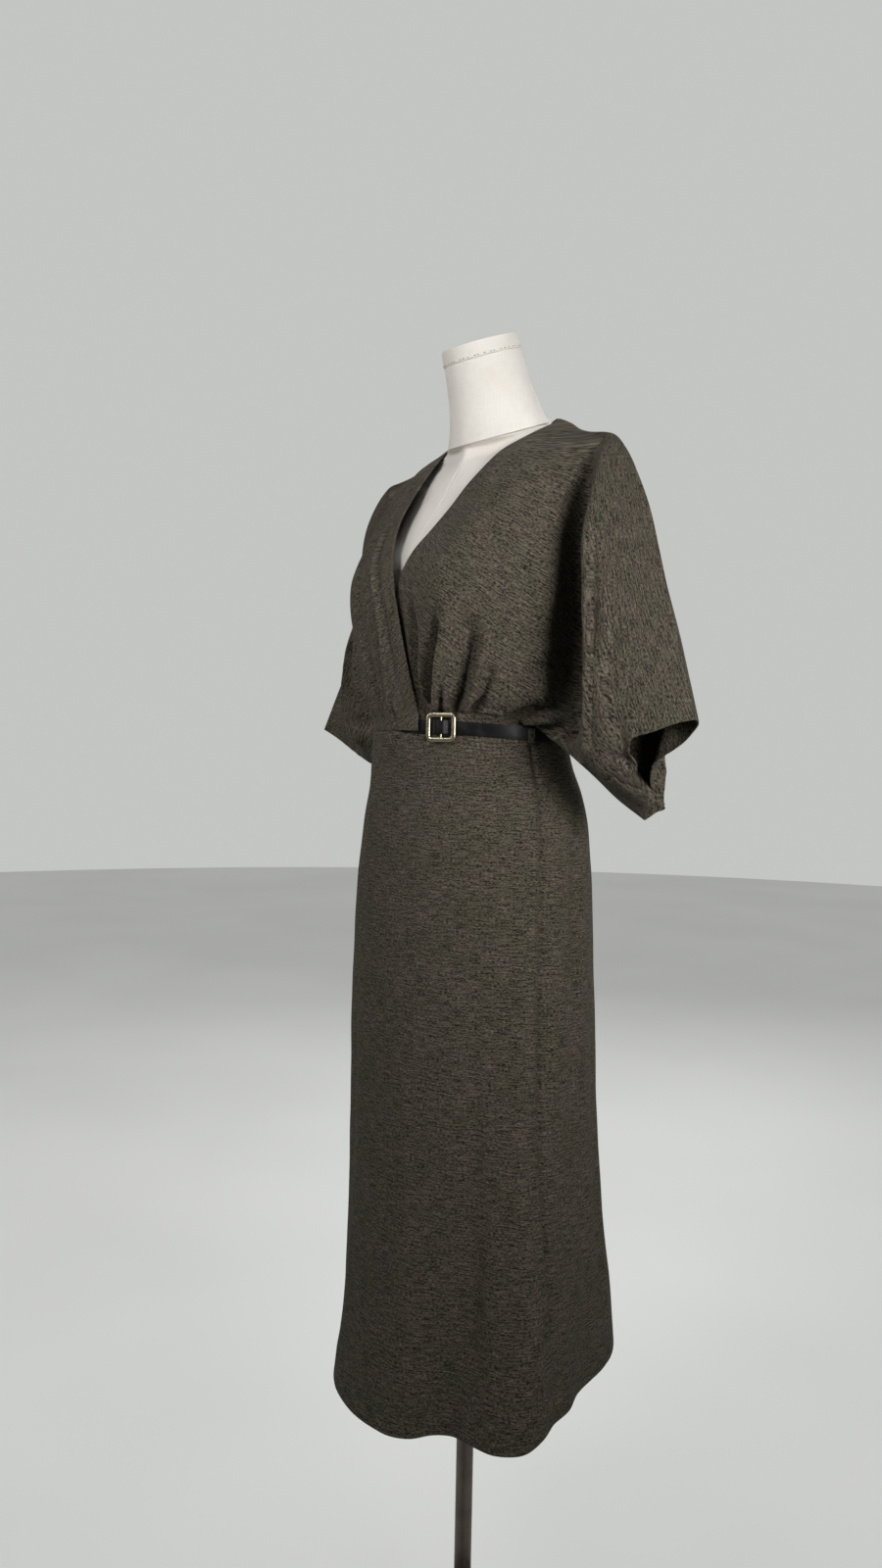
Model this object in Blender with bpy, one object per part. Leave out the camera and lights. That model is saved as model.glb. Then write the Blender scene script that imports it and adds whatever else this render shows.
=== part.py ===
"""A belted surplice-wrap dress with kimono sleeves, on a limbless dress form and its stand.

Metres, +Z up, the front towards -Y and the wearer's left towards +X. The origin is the
centre of the base plate's underside. Tables are in millimetres and degrees, with heights
taken from the waist and angles on the waist's ellipse: 0 at the left side, -90 at the front.
"""

import math

import bmesh
import bpy
import numpy as np
from mathutils import Matrix, Vector

MM = 0.001
CLOTH = 1.6 * MM
SEAM = 0.3 * MM
UP = np.array((0.0, 0.0, 1.0))

# Heights above the floor
WAIST = 1.210
FORM_BOTTOM = WAIST - 0.270

# The waist's ellipse
WAIST_HALF_WIDTH = 0.143
WAIST_HALF_DEPTH = 0.107
WAIST_CENTRE_Y = -0.020
SIDE_SEAM_ANGLE = -12.0

# The belt
BELT_WIDTH = 16 * MM
BELT_THICK = 1.8 * MM
BELT_STANDS_OFF = 1.3 * MM
BELT_ABOVE_SEAM = 5.5 * MM
OVER_BELT = BELT_ABOVE_SEAM + BELT_WIDTH / 2 + 3.5 * MM
BUCKLE_ANGLE = -62.5
BUCKLE_WIDTH = 40 * MM
BUCKLE_HEIGHT = 35 * MM
BUCKLE_BAR = 5.6 * MM
BUCKLE_FLATNESS = 0.8
BUCKLE_CORNER = 5 * MM
BUCKLE_PIN = 1.3 * MM
BUCKLE_STANDS_OFF = 3.6 * MM
BELT_TAIL_ANGLE = -88.0
BELT_END_ANGLE = 180 - SIDE_SEAM_ANGLE - 8
BELT_COLUMNS = 44
LOOP_THICK = 1.2 * MM
LAP = 5.8 * MM

# The stand
POLE_RADIUS = 11 * MM
BASE_RADIUS = 0.160
BASE_THICK = 9 * MM
COLLAR_RADIUS = 24 * MM
COLLAR_HEIGHT = 40 * MM
FLANGE_RADIUS = 55 * MM
FLANGE_THICK = 5 * MM


# ---------------------------------------------------------------- curves and cloth walls


def curve_through(points, spans):
    """A smooth curve through the points, with the given number of spans in each stretch."""
    points = np.asarray(points, float)
    step = np.diff(points, axis=0)
    length = np.linalg.norm(step, axis=-1, keepdims=True) + 1e-9
    slope = step / length
    tangent = np.concatenate((slope[:1], slope))
    inner = slope[:-1] * length[1:] + slope[1:] * length[:-1]
    tangent[1:-1] = inner / (length[:-1] + length[1:])
    found = []
    for i, count in enumerate(spans):
        for k in range(count):
            u = k / count
            found.append(
                (2 * u**3 - 3 * u**2 + 1) * points[i]
                + (u**3 - 2 * u**2 + u) * length[i] * tangent[i]
                + (3 * u**2 - 2 * u**3) * points[i + 1]
                + (u**3 - u**2) * length[i] * tangent[i + 1]
            )
    found.append(points[-1])
    return np.array(found)


def unit(vectors):
    return vectors / (np.linalg.norm(vectors, axis=-1, keepdims=True) + 1e-12)


def normals_of(grid):
    """Unit normals of a grid of points; they follow the first index crossed with the second."""
    return unit(np.cross(np.gradient(grid, axis=0), np.gradient(grid, axis=1)))


def finish(name, bm, material, smooth_angle=40):
    bmesh.ops.recalc_face_normals(bm, faces=bm.faces[:])
    if bm.calc_volume(signed=True) < 0:
        bmesh.ops.reverse_faces(bm, faces=bm.faces[:])
    mesh = bpy.data.meshes.new(name)
    bm.to_mesh(mesh)
    bm.free()
    mesh.shade_smooth()
    mesh.set_sharp_from_angle(angle=math.radians(smooth_angle))
    mesh.materials.append(material)
    obj = bpy.data.objects.new(name, mesh)
    bpy.context.scene.collection.objects.link(obj)
    return obj


def wall(name, outer, inner, material, leave_out=None):
    """A closed wall between two grids of points; leave_out(column, row) drops a cell."""
    columns, rows = outer.shape[:2]
    bm = bmesh.new()
    bmesh.ops.create_grid(bm, x_segments=columns - 1, y_segments=rows - 1, size=0.5)
    place = {}
    for vert in bm.verts:
        column = round((vert.co.x + 0.5) * (columns - 1))
        row = round((vert.co.y + 0.5) * (rows - 1))
        place[vert] = (column, row)
    if leave_out:
        cells = {face: np.min([place[v] for v in face.verts], axis=0) for face in bm.faces}
        gone = [face for face, cell in cells.items() if leave_out(*cell)]
        bmesh.ops.delete(bm, geom=gone, context="FACES")
    at = {vert.co.copy().freeze(): place[vert] for vert in bm.verts}
    made = bmesh.ops.extrude_face_region(bm, geom=bm.faces[:], use_keep_orig=True)
    lifted = {item for item in made["geom"] if isinstance(item, bmesh.types.BMVert)}
    for vert in bm.verts:
        column, row = at[vert.co.copy().freeze()]
        source = inner if vert in lifted else outer
        vert.co = source[column, row]
    return finish(name, bm, material)


def lathe(name, profile, material, steps):
    """A turned solid from (radius, height) points, the first and last on the axis."""
    bm = bmesh.new()
    verts = [bm.verts.new((radius, 0, height)) for radius, height in profile]
    edges = [bm.edges.new(pair) for pair in zip(verts, verts[1:])]
    bmesh.ops.spin(
        bm,
        geom=verts + edges,
        axis=(0, 0, 1),
        cent=(0, 0, 0),
        steps=steps,
        angle=2 * math.pi,
        use_merge=True,
    )
    bmesh.ops.remove_doubles(bm, verts=bm.verts[:], dist=1e-6)
    return finish(name, bm, material, 30)


def loft(name, rings, material):
    """A closed solid through rings of points, capped flat at both ends."""
    bm = bmesh.new()
    loops = [[bm.verts.new(point) for point in ring] for ring in rings]
    for low, high in zip(loops, loops[1:]):
        for i in range(len(low)):
            j = (i + 1) % len(low)
            bm.faces.new((low[i], low[j], high[j], high[i]))
    bm.faces.new(loops[0])
    bm.faces.new(loops[-1])
    return finish(name, bm, material)


def paint(name, colour, roughness, metallic=0.0):
    material = bpy.data.materials.new(name)
    material.use_nodes = True
    shader = material.node_tree.nodes["Principled BSDF"]
    shader.inputs["Base Color"].default_value = (*colour, 1)
    shader.inputs["Roughness"].default_value = roughness
    shader.inputs["Metallic"].default_value = metallic
    return material


# ---------------------------------------------------------------- the waist


def waist_height(angle):
    """The waist seam runs a little higher at the front than at the side and back."""
    frontness = (1 - np.sin(np.radians(angle))) / 2
    return WAIST - 0.003 + 0.0105 * frontness**2


def waist_point(angle, out=0.0, above=0.0):
    """A point on the waist seam, moved out and up from it."""
    angle = np.asarray(angle, float)
    radians = np.radians(angle)
    x = (WAIST_HALF_WIDTH + out) * np.cos(radians)
    y = WAIST_CENTRE_Y + (WAIST_HALF_DEPTH + out) * np.sin(radians)
    return np.stack((x, y, waist_height(angle) + above), axis=-1)


# ---------------------------------------------------------------- the skirt

# Nominal height, half width, front and back reach, and the angle of the left side seam
SKIRT_SECTIONS = (
    # height, half_width, front, back, seam_angle
    (0, 143, -127, 87, -12),
    (-32, 149.5, -125, 94, -13),
    (-65, 158, -124, 106, -14.5),
    (-99, 165, -129, 114, -15.5),
    (-150, 170, -135, 119, -16),
    (-300, 174, -142, 128, -16.5),
    (-500, 176, -143, 140, -16.5),
    (-600, 179, -147, 150, -14.5),
    (-700, 181, -155, 165, -12),
    (-795, 181, -170, 176, -8),
)
# Soft folds that open towards the hem: angle, half width in degrees, depth at the hem
# (outwards is positive) and the height where each one dies out
SKIRT_FOLDS = (
    # angle, spread, depth, top
    (-25, 21, 31, -330),
    (-53, 19, -24, -420),
    (-100, 26, -1, -500),
    (14, 18, -13, -300),
    (47, 19, 10, -450),
    (85, 22, -9, -350),
    (118, 18, 12, -400),
    (152, 20, -10, -480),
    (196, 24, 13, -380),
    (226, 18, -9, -450),
)
HEM = -795
HEM_TILT = 25 * MM
SKIRT_COLUMNS = 20
SKIRT_ROWS = (2, 1, 1, 1, 2, 3, 1, 1, 1)


def swell(distance, spread):
    """A smooth bump, 1 in the middle and 0 from `spread` away."""
    reach = np.clip(np.abs(distance) / spread, 0, 1)
    return (1 + np.cos(math.pi * reach)) / 2


def skirt_ring():
    """Points round the skirt: columns from the left seam over the front and back again."""
    sections = curve_through(np.array(SKIRT_SECTIONS), SKIRT_ROWS)
    shares = np.arange(2 * SKIRT_COLUMNS) / SKIRT_COLUMNS
    ring = np.empty((len(shares), len(sections), 3))
    for row, (height, half_width, front, back, seam_angle) in enumerate(sections):
        front_angles = seam_angle - shares * (180 + 2 * seam_angle)
        back_angles = seam_angle + (2 - shares) * (180 - 2 * seam_angle)
        angles = np.where(shares <= 1, front_angles, back_angles)
        radians = np.radians(angles)
        along = np.stack((np.cos(radians), np.sin(radians)), axis=-1)
        flat = along * (half_width, (back - front) / 2) + (0, (back + front) / 2)
        for angle, spread, depth, top in SKIRT_FOLDS:
            opening = np.clip((height - top) / (HEM - top), 0, 1) ** 1.4
            around = (angles - angle + 180) % 360 - 180
            flat = flat + along * (swell(around, spread) * depth * opening)[:, None]
        low = WAIST + HEM * MM + HEM_TILT * np.sin(radians)
        top_edge = waist_height(angles) - SEAM / 2
        ring[:, row, :2] = flat * MM
        ring[:, row, 2] = top_edge + (height / HEM) * (low - top_edge)
    return ring


def make_skirt(material):
    ring = skirt_ring()
    around = unit(np.roll(ring, 1, axis=0) - np.roll(ring, -1, axis=0))
    inside = ring - unit(np.cross(around, UP)) * CLOTH
    columns = np.arange(SKIRT_COLUMNS + 1)
    for name, picked in (("skirt_front", columns), ("skirt_back", columns - SKIRT_COLUMNS)):
        outer, inner = ring[picked].copy(), inside[picked].copy()
        for grid in (outer, inner):
            grid[0] -= around[picked[0]] * SEAM / 2
            grid[-1] += around[picked[-1]] * SEAM / 2
        wall(name, outer, inner, material)


# ---------------------------------------------------------------- the bodice and its sleeves

# Each line runs up the cloth from its foot to the shoulder seam. A foot is an angle on the
# waist, or a point on the underarm seam; then comes a point at each height of the cloth.
FRONT_LINES = (
    # name, foot, blouse, ribs, bust, chest, collar, seam
    ("edge", -108, (-37, -121, 42), (-16, -130, 115), (5, -138, 192), (31, -84, 281),
     (59, -30, 354), (111, 28, 398)),
    ("beside", -80, (26, -125, 44), (37, -135, 115), (50, -140, 195), (63, -90, 272),
     (85, -37, 350), (132, 25, 388)),
    ("bust", -58, (84, -124, 45), (88, -135, 115), (90, -140, 195), (100, -94, 268),
     (113, -40, 338), (152, 20, 376)),
    ("side", -35, (126, -94, 40), (132, -99, 112), (137, -100, 190), (147, -74, 262),
     (152, -31, 329), (175, 13, 367)),
    ("lip", -12, (152, -62, 32), (162, -66, 102), (165, -56, 180), (169, -40, 255),
     (177, -19, 322), (194, 7, 362)),
)
LEFT_SLEEVE_FRONT = (
    # name, foot, blouse, ribs, bust, chest, collar, seam
    ("valley", (172, -40, 1), (187, -28, 12), (186, -15, 90), (186, -8, 170), (188, -9, 252),
     (196, -8, 322), (210, 3, 358)),
    ("fold", (206, -30, -24), (254, -64, -24), (263, -75, 78), (234, -50, 185), (212, -27, 270),
     (212, -12, 328), (224, 1, 353)),
    ("upper", (224, -22, -40), (264, -56, -36), (276, -76, 43), (254, -57, 134), (243, -40, 210),
     (248, -20, 268), (263, 0, 301)),
    ("face", (253, -12, -66), (276, -42, -48), (289, -67, 10), (277, -58, 85), (285, -38, 130),
     (297, -16, 162), (306, 0, 175)),
    ("cuff", (283, 0, -88), (296, -10, -69), (301, -35, -37), (310, -55, 2), (328, -43, 10),
     (345, -22, 20), (355, -6, 24)),
)
BACK_LINES = (
    # name, foot, blouse, ribs, blade, chest, collar, seam
    ("edge", 66, (64, 95, 45), (68, 100, 112), (72, 102, 198), (78, 92, 282), (88, 66, 345),
     (111, 28, 398)),
    ("beside", 50, (88, 86, 44), (92, 92, 112), (96, 94, 196), (102, 82, 280), (112, 58, 342),
     (132, 25, 388)),
    ("blade", 32, (112, 70, 42), (115, 77, 110), (120, 82, 194), (128, 68, 276), (138, 48, 337),
     (152, 20, 376)),
    ("side", 12, (137, 44, 38), (141, 56, 106), (147, 64, 190), (154, 52, 272), (164, 37, 332),
     (175, 13, 367)),
    ("lip", -12, (155, 5, 34), (163, 32, 98), (171, 44, 182), (177, 38, 266), (185, 25, 327),
     (194, 7, 362)),
)
LEFT_SLEEVE_BACK = (
    # name, foot, blouse, ribs, blade, chest, collar, seam
    ("valley", (172, -40, 1), (178, -6, 20), (190, 20, 88), (193, 26, 168), (195, 22, 256),
     (201, 14, 322), (210, 3, 358)),
    ("fold", (206, -30, -24), (232, 32, -12), (247, 54, 76), (237, 50, 178), (225, 36, 262),
     (220, 18, 322), (224, 1, 353)),
    ("upper", (224, -22, -40), (248, 34, -30), (262, 54, 42), (257, 49, 128), (250, 37, 205),
     (252, 20, 266), (263, 0, 301)),
    ("face", (253, -12, -66), (268, 42, -46), (276, 46, 8), (281, 43, 74), (289, 33, 122),
     (299, 18, 156), (306, 0, 175)),
    ("cuff", (283, 0, -88), (273, 46, -75), (268, 27, -51), (280, 16, -29), (315, 27, 0),
     (337, 22, 18), (355, -6, 24)),
)
SPINE_LINE = (90, (0, 99, 50), (0, 103, 113), (0, 107, 200), (0, 99, 285), (0, 86, 345), (0, 80, 386))
# The right front's own free edge stands off the left front that it laps over
RIGHT_EDGE_LINES = (
    # name, foot, blouse, ribs, bust, chest, collar, seam
    ("edge", -104, (-31, -131, 45), (-18, -143, 120), (-4, -147, 197), (40, -103, 276),
     (66, -32, 356), (111, 28, 398)),
    ("beside", -80, (28, -134, 45), (31, -144, 118), (47, -147, 197), (68, -98, 272),
     (88, -39, 351), (132, 25, 388)),
)
# The right sleeve hangs flatter, with its cuff's low corner drawn in towards the body
RIGHT_SLEEVE_FRONT = (
    # name, foot, blouse, ribs, bust, chest, collar, seam
    ("valley", (172, -40, 1), (176, -30, 20), (186, -14, 90), (186, -7, 170), (188, -8, 252),
     (196, -7, 322), (210, 3, 358)),
    ("fold", (196, -26, -12), (226, -38, -8), (256, -38, 80), (232, -26, 183), (212, -16, 268),
     (212, -8, 328), (221, 1, 350)),
    ("upper", (212, -14, -24), (236, -22, -16), (266, -28, 42), (250, -18, 131), (243, -10, 206),
     (248, -8, 266), (263, 0, 301)),
    ("face", (228, 0, -36), (242, -10, -26), (276, -12, 6), (277, -2, 77), (284, 8, 125),
     (296, 18, 158), (306, 24, 172)),
    ("cuff", (246, 16, -47), (252, 5, -39), (268, -2, -29), (290, -4, -18), (315, -6, -6),
     (340, -6, 3), (355, -6, 8)),
)
RIGHT_SLEEVE_BACK = (
    # name, foot, blouse, ribs, bust, chest, collar, seam
    ("valley", (172, -40, 1), (178, -6, 20), (190, 20, 88), (193, 26, 168), (195, 22, 256),
     (201, 14, 322), (210, 3, 358)),
    ("fold", (196, -26, -12), (222, 20, -2), (247, 44, 76), (237, 44, 178), (225, 34, 262),
     (220, 18, 322), (221, 1, 350)),
    ("upper", (212, -14, -24), (230, 30, -14), (258, 46, 42), (257, 42, 128), (250, 34, 205),
     (252, 18, 266), (263, 0, 301)),
    ("face", (228, 0, -36), (240, 34, -27), (268, 44, 8), (279, 44, 76), (289, 38, 122),
     (299, 31, 156), (306, 24, 172)),
    ("cuff", (246, 16, -47), (258, 28, -40), (276, 31, -30), (297, 27, -19), (320, 20, -8),
     (342, 8, 3), (355, -6, 8)),
)
COLUMN_SPANS = (3, 3, 3, 2, 3, 3, 2, 3, 3)
SPINE_SPANS = (2, 2)
ROW_SPANS = (1, 2, 2, 3, 3, 2, 2)
SIDE_COLUMN = sum(COLUMN_SPANS[:4])


def stations(lines, side, lap=0.0):
    """Points of the lines in metres for the left (side 1) or the right (side -1)."""
    found = []
    for name, foot, *points in lines:
        if isinstance(foot, tuple):
            under_belt = (foot[0], foot[1], foot[2] - OVER_BELT / MM)
            line = np.array((under_belt, foot, *points)) * MM + (0, 0, WAIST)
        else:
            over = lap if name in ("edge", "beside") else 0.0
            low = [waist_point(foot, over), waist_point(foot, over, OVER_BELT)]
            line = np.concatenate((low, np.array(points) * MM + (0, 0, WAIST)))
        found.append(line * (side, 1, 1))
    return np.array(found)


def surface(lines, column_spans):
    by_row = curve_through(lines.swapaxes(0, 1), ROW_SPANS)
    return curve_through(by_row.swapaxes(0, 1), column_spans)


def front_grid(side):
    lap = LAP if side < 0 else 0.0
    if side > 0:
        lines = FRONT_LINES + LEFT_SLEEVE_FRONT
    else:
        lines = RIGHT_EDGE_LINES + FRONT_LINES[2:] + RIGHT_SLEEVE_FRONT
    grid = surface(stations(lines, side, lap), COLUMN_SPANS)
    at = np.cumsum((0, *COLUMN_SPANS[:4]))
    columns = np.arange(SIDE_COLUMN + 1)
    angles = np.interp(columns, at, [line[1] for line in lines[:5]])
    outs = np.interp(columns, at, (lap, lap, 0, 0, 0))
    for row, above in ((0, SEAM / 2), (1, OVER_BELT)):
        points = np.array([waist_point(a, o, above) for a, o in zip(angles, outs)])
        grid[: SIDE_COLUMN + 1, row] = points * (side, 1, 1)
    return grid


def back_grid(fronts):
    left = stations(BACK_LINES + LEFT_SLEEVE_BACK, 1)
    right = stations(BACK_LINES + RIGHT_SLEEVE_BACK, -1)
    foot, *points = SPINE_LINE
    low = [waist_point(foot), waist_point(foot, 0, OVER_BELT)]
    spine = np.concatenate((low, np.array(points) * MM + (0, 0, WAIST)))
    lines = np.concatenate((right[::-1], spine[None], left))
    grid = surface(lines, (*COLUMN_SPANS[::-1], *SPINE_SPANS, *COLUMN_SPANS))
    count = len(fronts[1])
    middle = len(grid) // 2
    reach = middle - (count - 1) + SIDE_COLUMN
    at = np.cumsum((0, SPINE_SPANS[1], *COLUMN_SPANS[:4]))
    angles = np.interp(np.arange(reach + 1), at, [90] + [line[1] for line in BACK_LINES[:5]])
    for row, above in ((0, SEAM / 2), (1, OVER_BELT)):
        points = waist_point(angles, 0.0, above)
        grid[middle : middle + reach + 1, row] = points
        grid[middle - reach : middle + 1, row] = (points * (-1, 1, 1))[::-1]
    for side, half in back_halves(grid, count):
        half[:, -1] = fronts[side][:, -1]
        half[SIDE_COLUMN:, 1] = fronts[side][SIDE_COLUMN:, 1]
    return grid


def back_halves(grid, count):
    """Views of the back's two sides, from the shoulder's neck end out to the cuff."""
    return ((1, grid[-count:]), (-1, grid[:count][::-1]))


def cloth_normals(grid, flip):
    """Outward normals; the strip under the belt stands upright."""
    normal = np.empty_like(grid)
    normal[:, 1:] = normals_of(grid[:, 1:]) * flip
    from_centre = grid[:, 0] - (0, WAIST_CENTRE_Y, 0)
    upright = unit(from_centre * (WAIST_HALF_WIDTH**-2, WAIST_HALF_DEPTH**-2, 0))
    normal[:, 0] = upright
    return normal, upright


def join(front, back, normals, rows, start=0):
    """Mitres the two cloths at a seam row and leaves the seam's gap between them."""
    row, beside = rows
    toward_front = unit(front[start:, beside] - front[start:, row])
    toward_back = unit(back[start:, beside] - back[start:, row])
    across = unit(toward_front - toward_back)
    shared = unit(normals[0][start:, row] + normals[1][start:, row])
    normals[0][start:, row] = shared
    normals[1][start:, row] = shared
    return across


def make_bodice(material):
    fronts = {side: front_grid(side) for side in (1, -1)}
    back = back_grid(fronts)
    back_normal, upright = cloth_normals(back, -1)
    middle, count = len(back) // 2, len(fronts[1])
    reach = middle - (count - 1) + SIDE_COLUMN
    strip = slice(middle - reach, middle + reach + 1)
    back_normal[strip, 1] = unit(back_normal[strip, 1] + upright[strip])
    back_shift = np.zeros_like(back)
    halves = {}
    for item in (back, back_normal, back_shift):
        for side, half in back_halves(item, count):
            halves.setdefault(side, []).append(half)
    for side, name in ((1, "bodice_front_left"), (-1, "bodice_front_right")):
        front = fronts[side]
        normal, upright = cloth_normals(front, side)
        worn = slice(0, SIDE_COLUMN + 1)
        normal[worn, 1] = unit(normal[worn, 1] + upright[worn])
        half, half_normal, half_shift = halves[side]
        shift = np.zeros_like(front)
        for rows, start in (((-1, -2), 0), ((1, 2), SIDE_COLUMN)):
            across = join(front, half, (normal, half_normal), rows, start)
            shift[start:, rows[0]] = across * SEAM / 2
            half_shift[start:, rows[0]] = -across * SEAM / 2
        forward = unit(front[SIDE_COLUMN - 1, 0] - front[SIDE_COLUMN, 0])
        shift[SIDE_COLUMN, :2] = forward * SEAM / 2
        half_shift[SIDE_COLUMN, :2] = -forward * SEAM / 2
        normal[SIDE_COLUMN, 0] = half_normal[SIDE_COLUMN, 0] = upright[SIDE_COLUMN]
        wall(
            name,
            front + shift,
            front - normal * CLOTH + shift,
            material,
            lambda column, row: row == 0 and column >= SIDE_COLUMN,
        )
    wall(
        "bodice_back",
        back + back_shift,
        back - back_normal * CLOTH + back_shift,
        material,
        lambda column, row: row == 0 and not middle - reach <= column < middle + reach,
    )


# ---------------------------------------------------------------- the belt


def belt_ring(angles, out, above):
    return waist_point(angles, out, BELT_ABOVE_SEAM + above)


def make_belt(leather, brass, cloth):
    """The strap runs from under the wrap, over the buckle's bar, and round to the right seam."""
    low = BELT_STANDS_OFF
    rising = low + 0.8 * MM
    over_bar = low + 5.2 * MM
    buckle_half = math.degrees(BUCKLE_WIDTH / 2 / WAIST_HALF_WIDTH)
    past_buckle = buckle_half + 3
    turns = (
        # angle, how far the strap's inner face stands off the waist
        (BELT_TAIL_ANGLE, low),
        (BUCKLE_ANGLE - past_buckle, low),
        (BUCKLE_ANGLE - buckle_half * 0.45, rising),
        (BUCKLE_ANGLE - buckle_half * 0.2, over_bar),
        (BUCKLE_ANGLE + buckle_half * 0.2, over_bar),
        (BUCKLE_ANGLE + buckle_half * 0.45, rising),
        (BUCKLE_ANGLE + past_buckle, low),
    )
    near = curve_through([(angle, 0, out) for angle, out in turns], (2, 2, 3, 2, 3, 2))
    far = np.linspace(BUCKLE_ANGLE + past_buckle, BELT_END_ANGLE, BELT_COLUMNS)[1:]
    angles = np.concatenate((near[:, 0], far))
    outs = np.concatenate((near[:, 2], np.full(len(far), low)))
    edges = (-BELT_WIDTH / 2, BELT_WIDTH / 2)
    sides = []
    for thick in (BELT_THICK, 0.0):
        grid = [[belt_ring(a, o + thick, edge) for edge in edges] for a, o in zip(angles, outs)]
        sides.append(np.array(grid))
    wall("belt_strap", *sides, leather)
    make_buckle(brass)
    make_loop(cloth)


def make_buckle(brass):
    """A rounded square frame with a bar across its middle, both round in section."""
    bar = BUCKLE_BAR / 2
    half = (BUCKLE_WIDTH / 2 - bar, BUCKLE_HEIGHT / 2 - bar)
    path = []
    for turn in range(4):
        cx = (half[0] - BUCKLE_CORNER) * (1 if turn in (0, 3) else -1)
        cz = (half[1] - BUCKLE_CORNER) * (1 if turn in (0, 1) else -1)
        for k in range(5):
            a = math.pi / 2 * (turn + k / 4)
            path.append((cx + BUCKLE_CORNER * math.cos(a), cz + BUCKLE_CORNER * math.sin(a)))
    bm = bmesh.new()
    sides = 10
    loops = []
    for i, (x, z) in enumerate(path):
        px, pz = path[i - 1]
        nx, nz = path[(i + 1) % len(path)]
        along = Vector((nx - px, 0, nz - pz)).normalized()
        out = along.cross(Vector((0, 1, 0)))
        loop = []
        for k in range(sides):
            a = 2 * math.pi * k / sides
            depth = Vector((0, bar * BUCKLE_FLATNESS * math.sin(a), 0))
            loop.append(bm.verts.new(Vector((x, 0, z)) + out * bar * math.cos(a) + depth))
        loops.append(loop)
    for i, loop in enumerate(loops):
        following = loops[(i + 1) % len(loops)]
        for k in range(sides):
            j = (k + 1) % sides
            bm.faces.new((loop[k], loop[j], following[j], following[k]))
    frame = finish("buckle_frame", bm, brass)
    bm = bmesh.new()
    bmesh.ops.create_cone(
        bm,
        cap_ends=True,
        segments=sides,
        radius1=BUCKLE_PIN,
        radius2=BUCKLE_PIN,
        depth=2 * half[1],
    )
    cross_bar = finish("buckle_bar_joined", bm, brass)
    cross_bar.hide_render = True
    cross_bar.display_type = "WIRE"
    union = frame.modifiers.new("centre bar", "BOOLEAN")
    union.operation = "UNION"
    union.object = cross_bar
    centre = belt_ring(BUCKLE_ANGLE, BELT_STANDS_OFF + BUCKLE_STANDS_OFF, 0.0)
    slope = math.radians(BUCKLE_ANGLE)
    outward = Vector((math.cos(slope) / WAIST_HALF_WIDTH, math.sin(slope) / WAIST_HALF_DEPTH, 0))
    facing = math.atan2(outward.x, -outward.y)
    for obj in (frame, cross_bar):
        obj.location = centre
        obj.rotation_euler = (0, 0, facing)


def make_loop(cloth):
    """A fabric carrier that bridges the belt at the left side seam."""
    half = BELT_WIDTH / 2
    clear = BELT_STANDS_OFF + BELT_THICK + 0.4 * MM
    turns = (
        # height from the belt's middle, how far the carrier's inner face stands off the waist
        (-half - 4 * MM, 3.4 * MM),
        (-half - 1.2 * MM, clear),
        (half - 2 * MM, clear),
    )
    angles = SIDE_SEAM_ANGLE + np.array((-2.2, 0, 2.2))
    sides = []
    for thick in (LOOP_THICK, 0.0):
        grid = [[belt_ring(a, out + thick, above) for above, out in turns] for a in angles]
        sides.append(np.array(grid))
    wall("belt_loop_left", *sides, cloth)


# ---------------------------------------------------------------- the form and its stand

# The top sections lean forward with the neck
FORM_SECTIONS = (
    # height, half_width, front, back, squareness, lean
    (-270, 143, -108, 107, 2.0, 0),
    (-262, 149, -114, 113, 2.0, 0),
    (-200, 156, -119, 114, 2.0, 0),
    (-100, 150, -117, 104, 2.1, 0),
    (0, 136, -119, 80, 2.0, 0),
    (60, 137, -120, 85, 2.1, 0),
    (120, 141, -125, 91, 2.2, 0),
    (185, 146, -131, 98, 2.3, 0),
    (219, 148, -124, 98, 2.2, 0),
    (250, 150, -103, 95, 2.0, 0),
    (298, 160, -71, 86, 1.8, 1),
    (335, 173, -50, 70, 1.45, 3),
    (352, 168, -42, 60, 1.15, 6),
    (368, 136, -37, 62, 1.0, 12),
    (384, 107, -34, 70, 1.15, 17),
    (395.7, 73, -38.7, 86.7, 2.0, 21),
)
FORM_POINTS = 40
NECK_BASE = Vector((0, 24 * MM, WAIST + 396 * MM + SEAM))
NECK_TOP = Vector((0, -13 * MM, WAIST + 509 * MM))
NECK_TILT = math.radians(21)
BAND_START = 0.84
NECK_SECTIONS = (
    # share of the way up, half_width, half_depth
    (0.0, 73, 67),
    (0.1, 67, 63),
    (0.25, 61, 59),
    (0.5, 55, 54),
    (BAND_START, 51, 51),
)
BAND_SECTIONS = ((BAND_START, 51.6, 51.6), (1.0, 50.2, 50.2))


def form_ring(height, half_width, front, back, squareness, lean):
    points = []
    for i in range(FORM_POINTS):
        a = 2 * math.pi * i / FORM_POINTS
        c, s = math.cos(a), math.sin(a)
        x = half_width * math.copysign(abs(c) ** (2 / squareness), c)
        y = (back - front) / 2 * math.copysign(abs(s) ** (2 / squareness), s)
        z = height + y * math.tan(math.radians(lean))
        points.append((x * MM, (y + (front + back) / 2) * MM, WAIST + z * MM))
    return points


def make_form(linen):
    spans = (1, 2, 2, 2, 1, 1, 1, 1, 1, 1, 1, 1, 1, 1, 1)
    rings = [form_ring(*row) for row in curve_through(np.array(FORM_SECTIONS), spans)]
    loft("form_torso", rings, linen)
    make_neck("form_neck", NECK_SECTIONS, linen, 0.0)
    make_neck("form_neck_band", BAND_SECTIONS, linen, SEAM)


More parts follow.
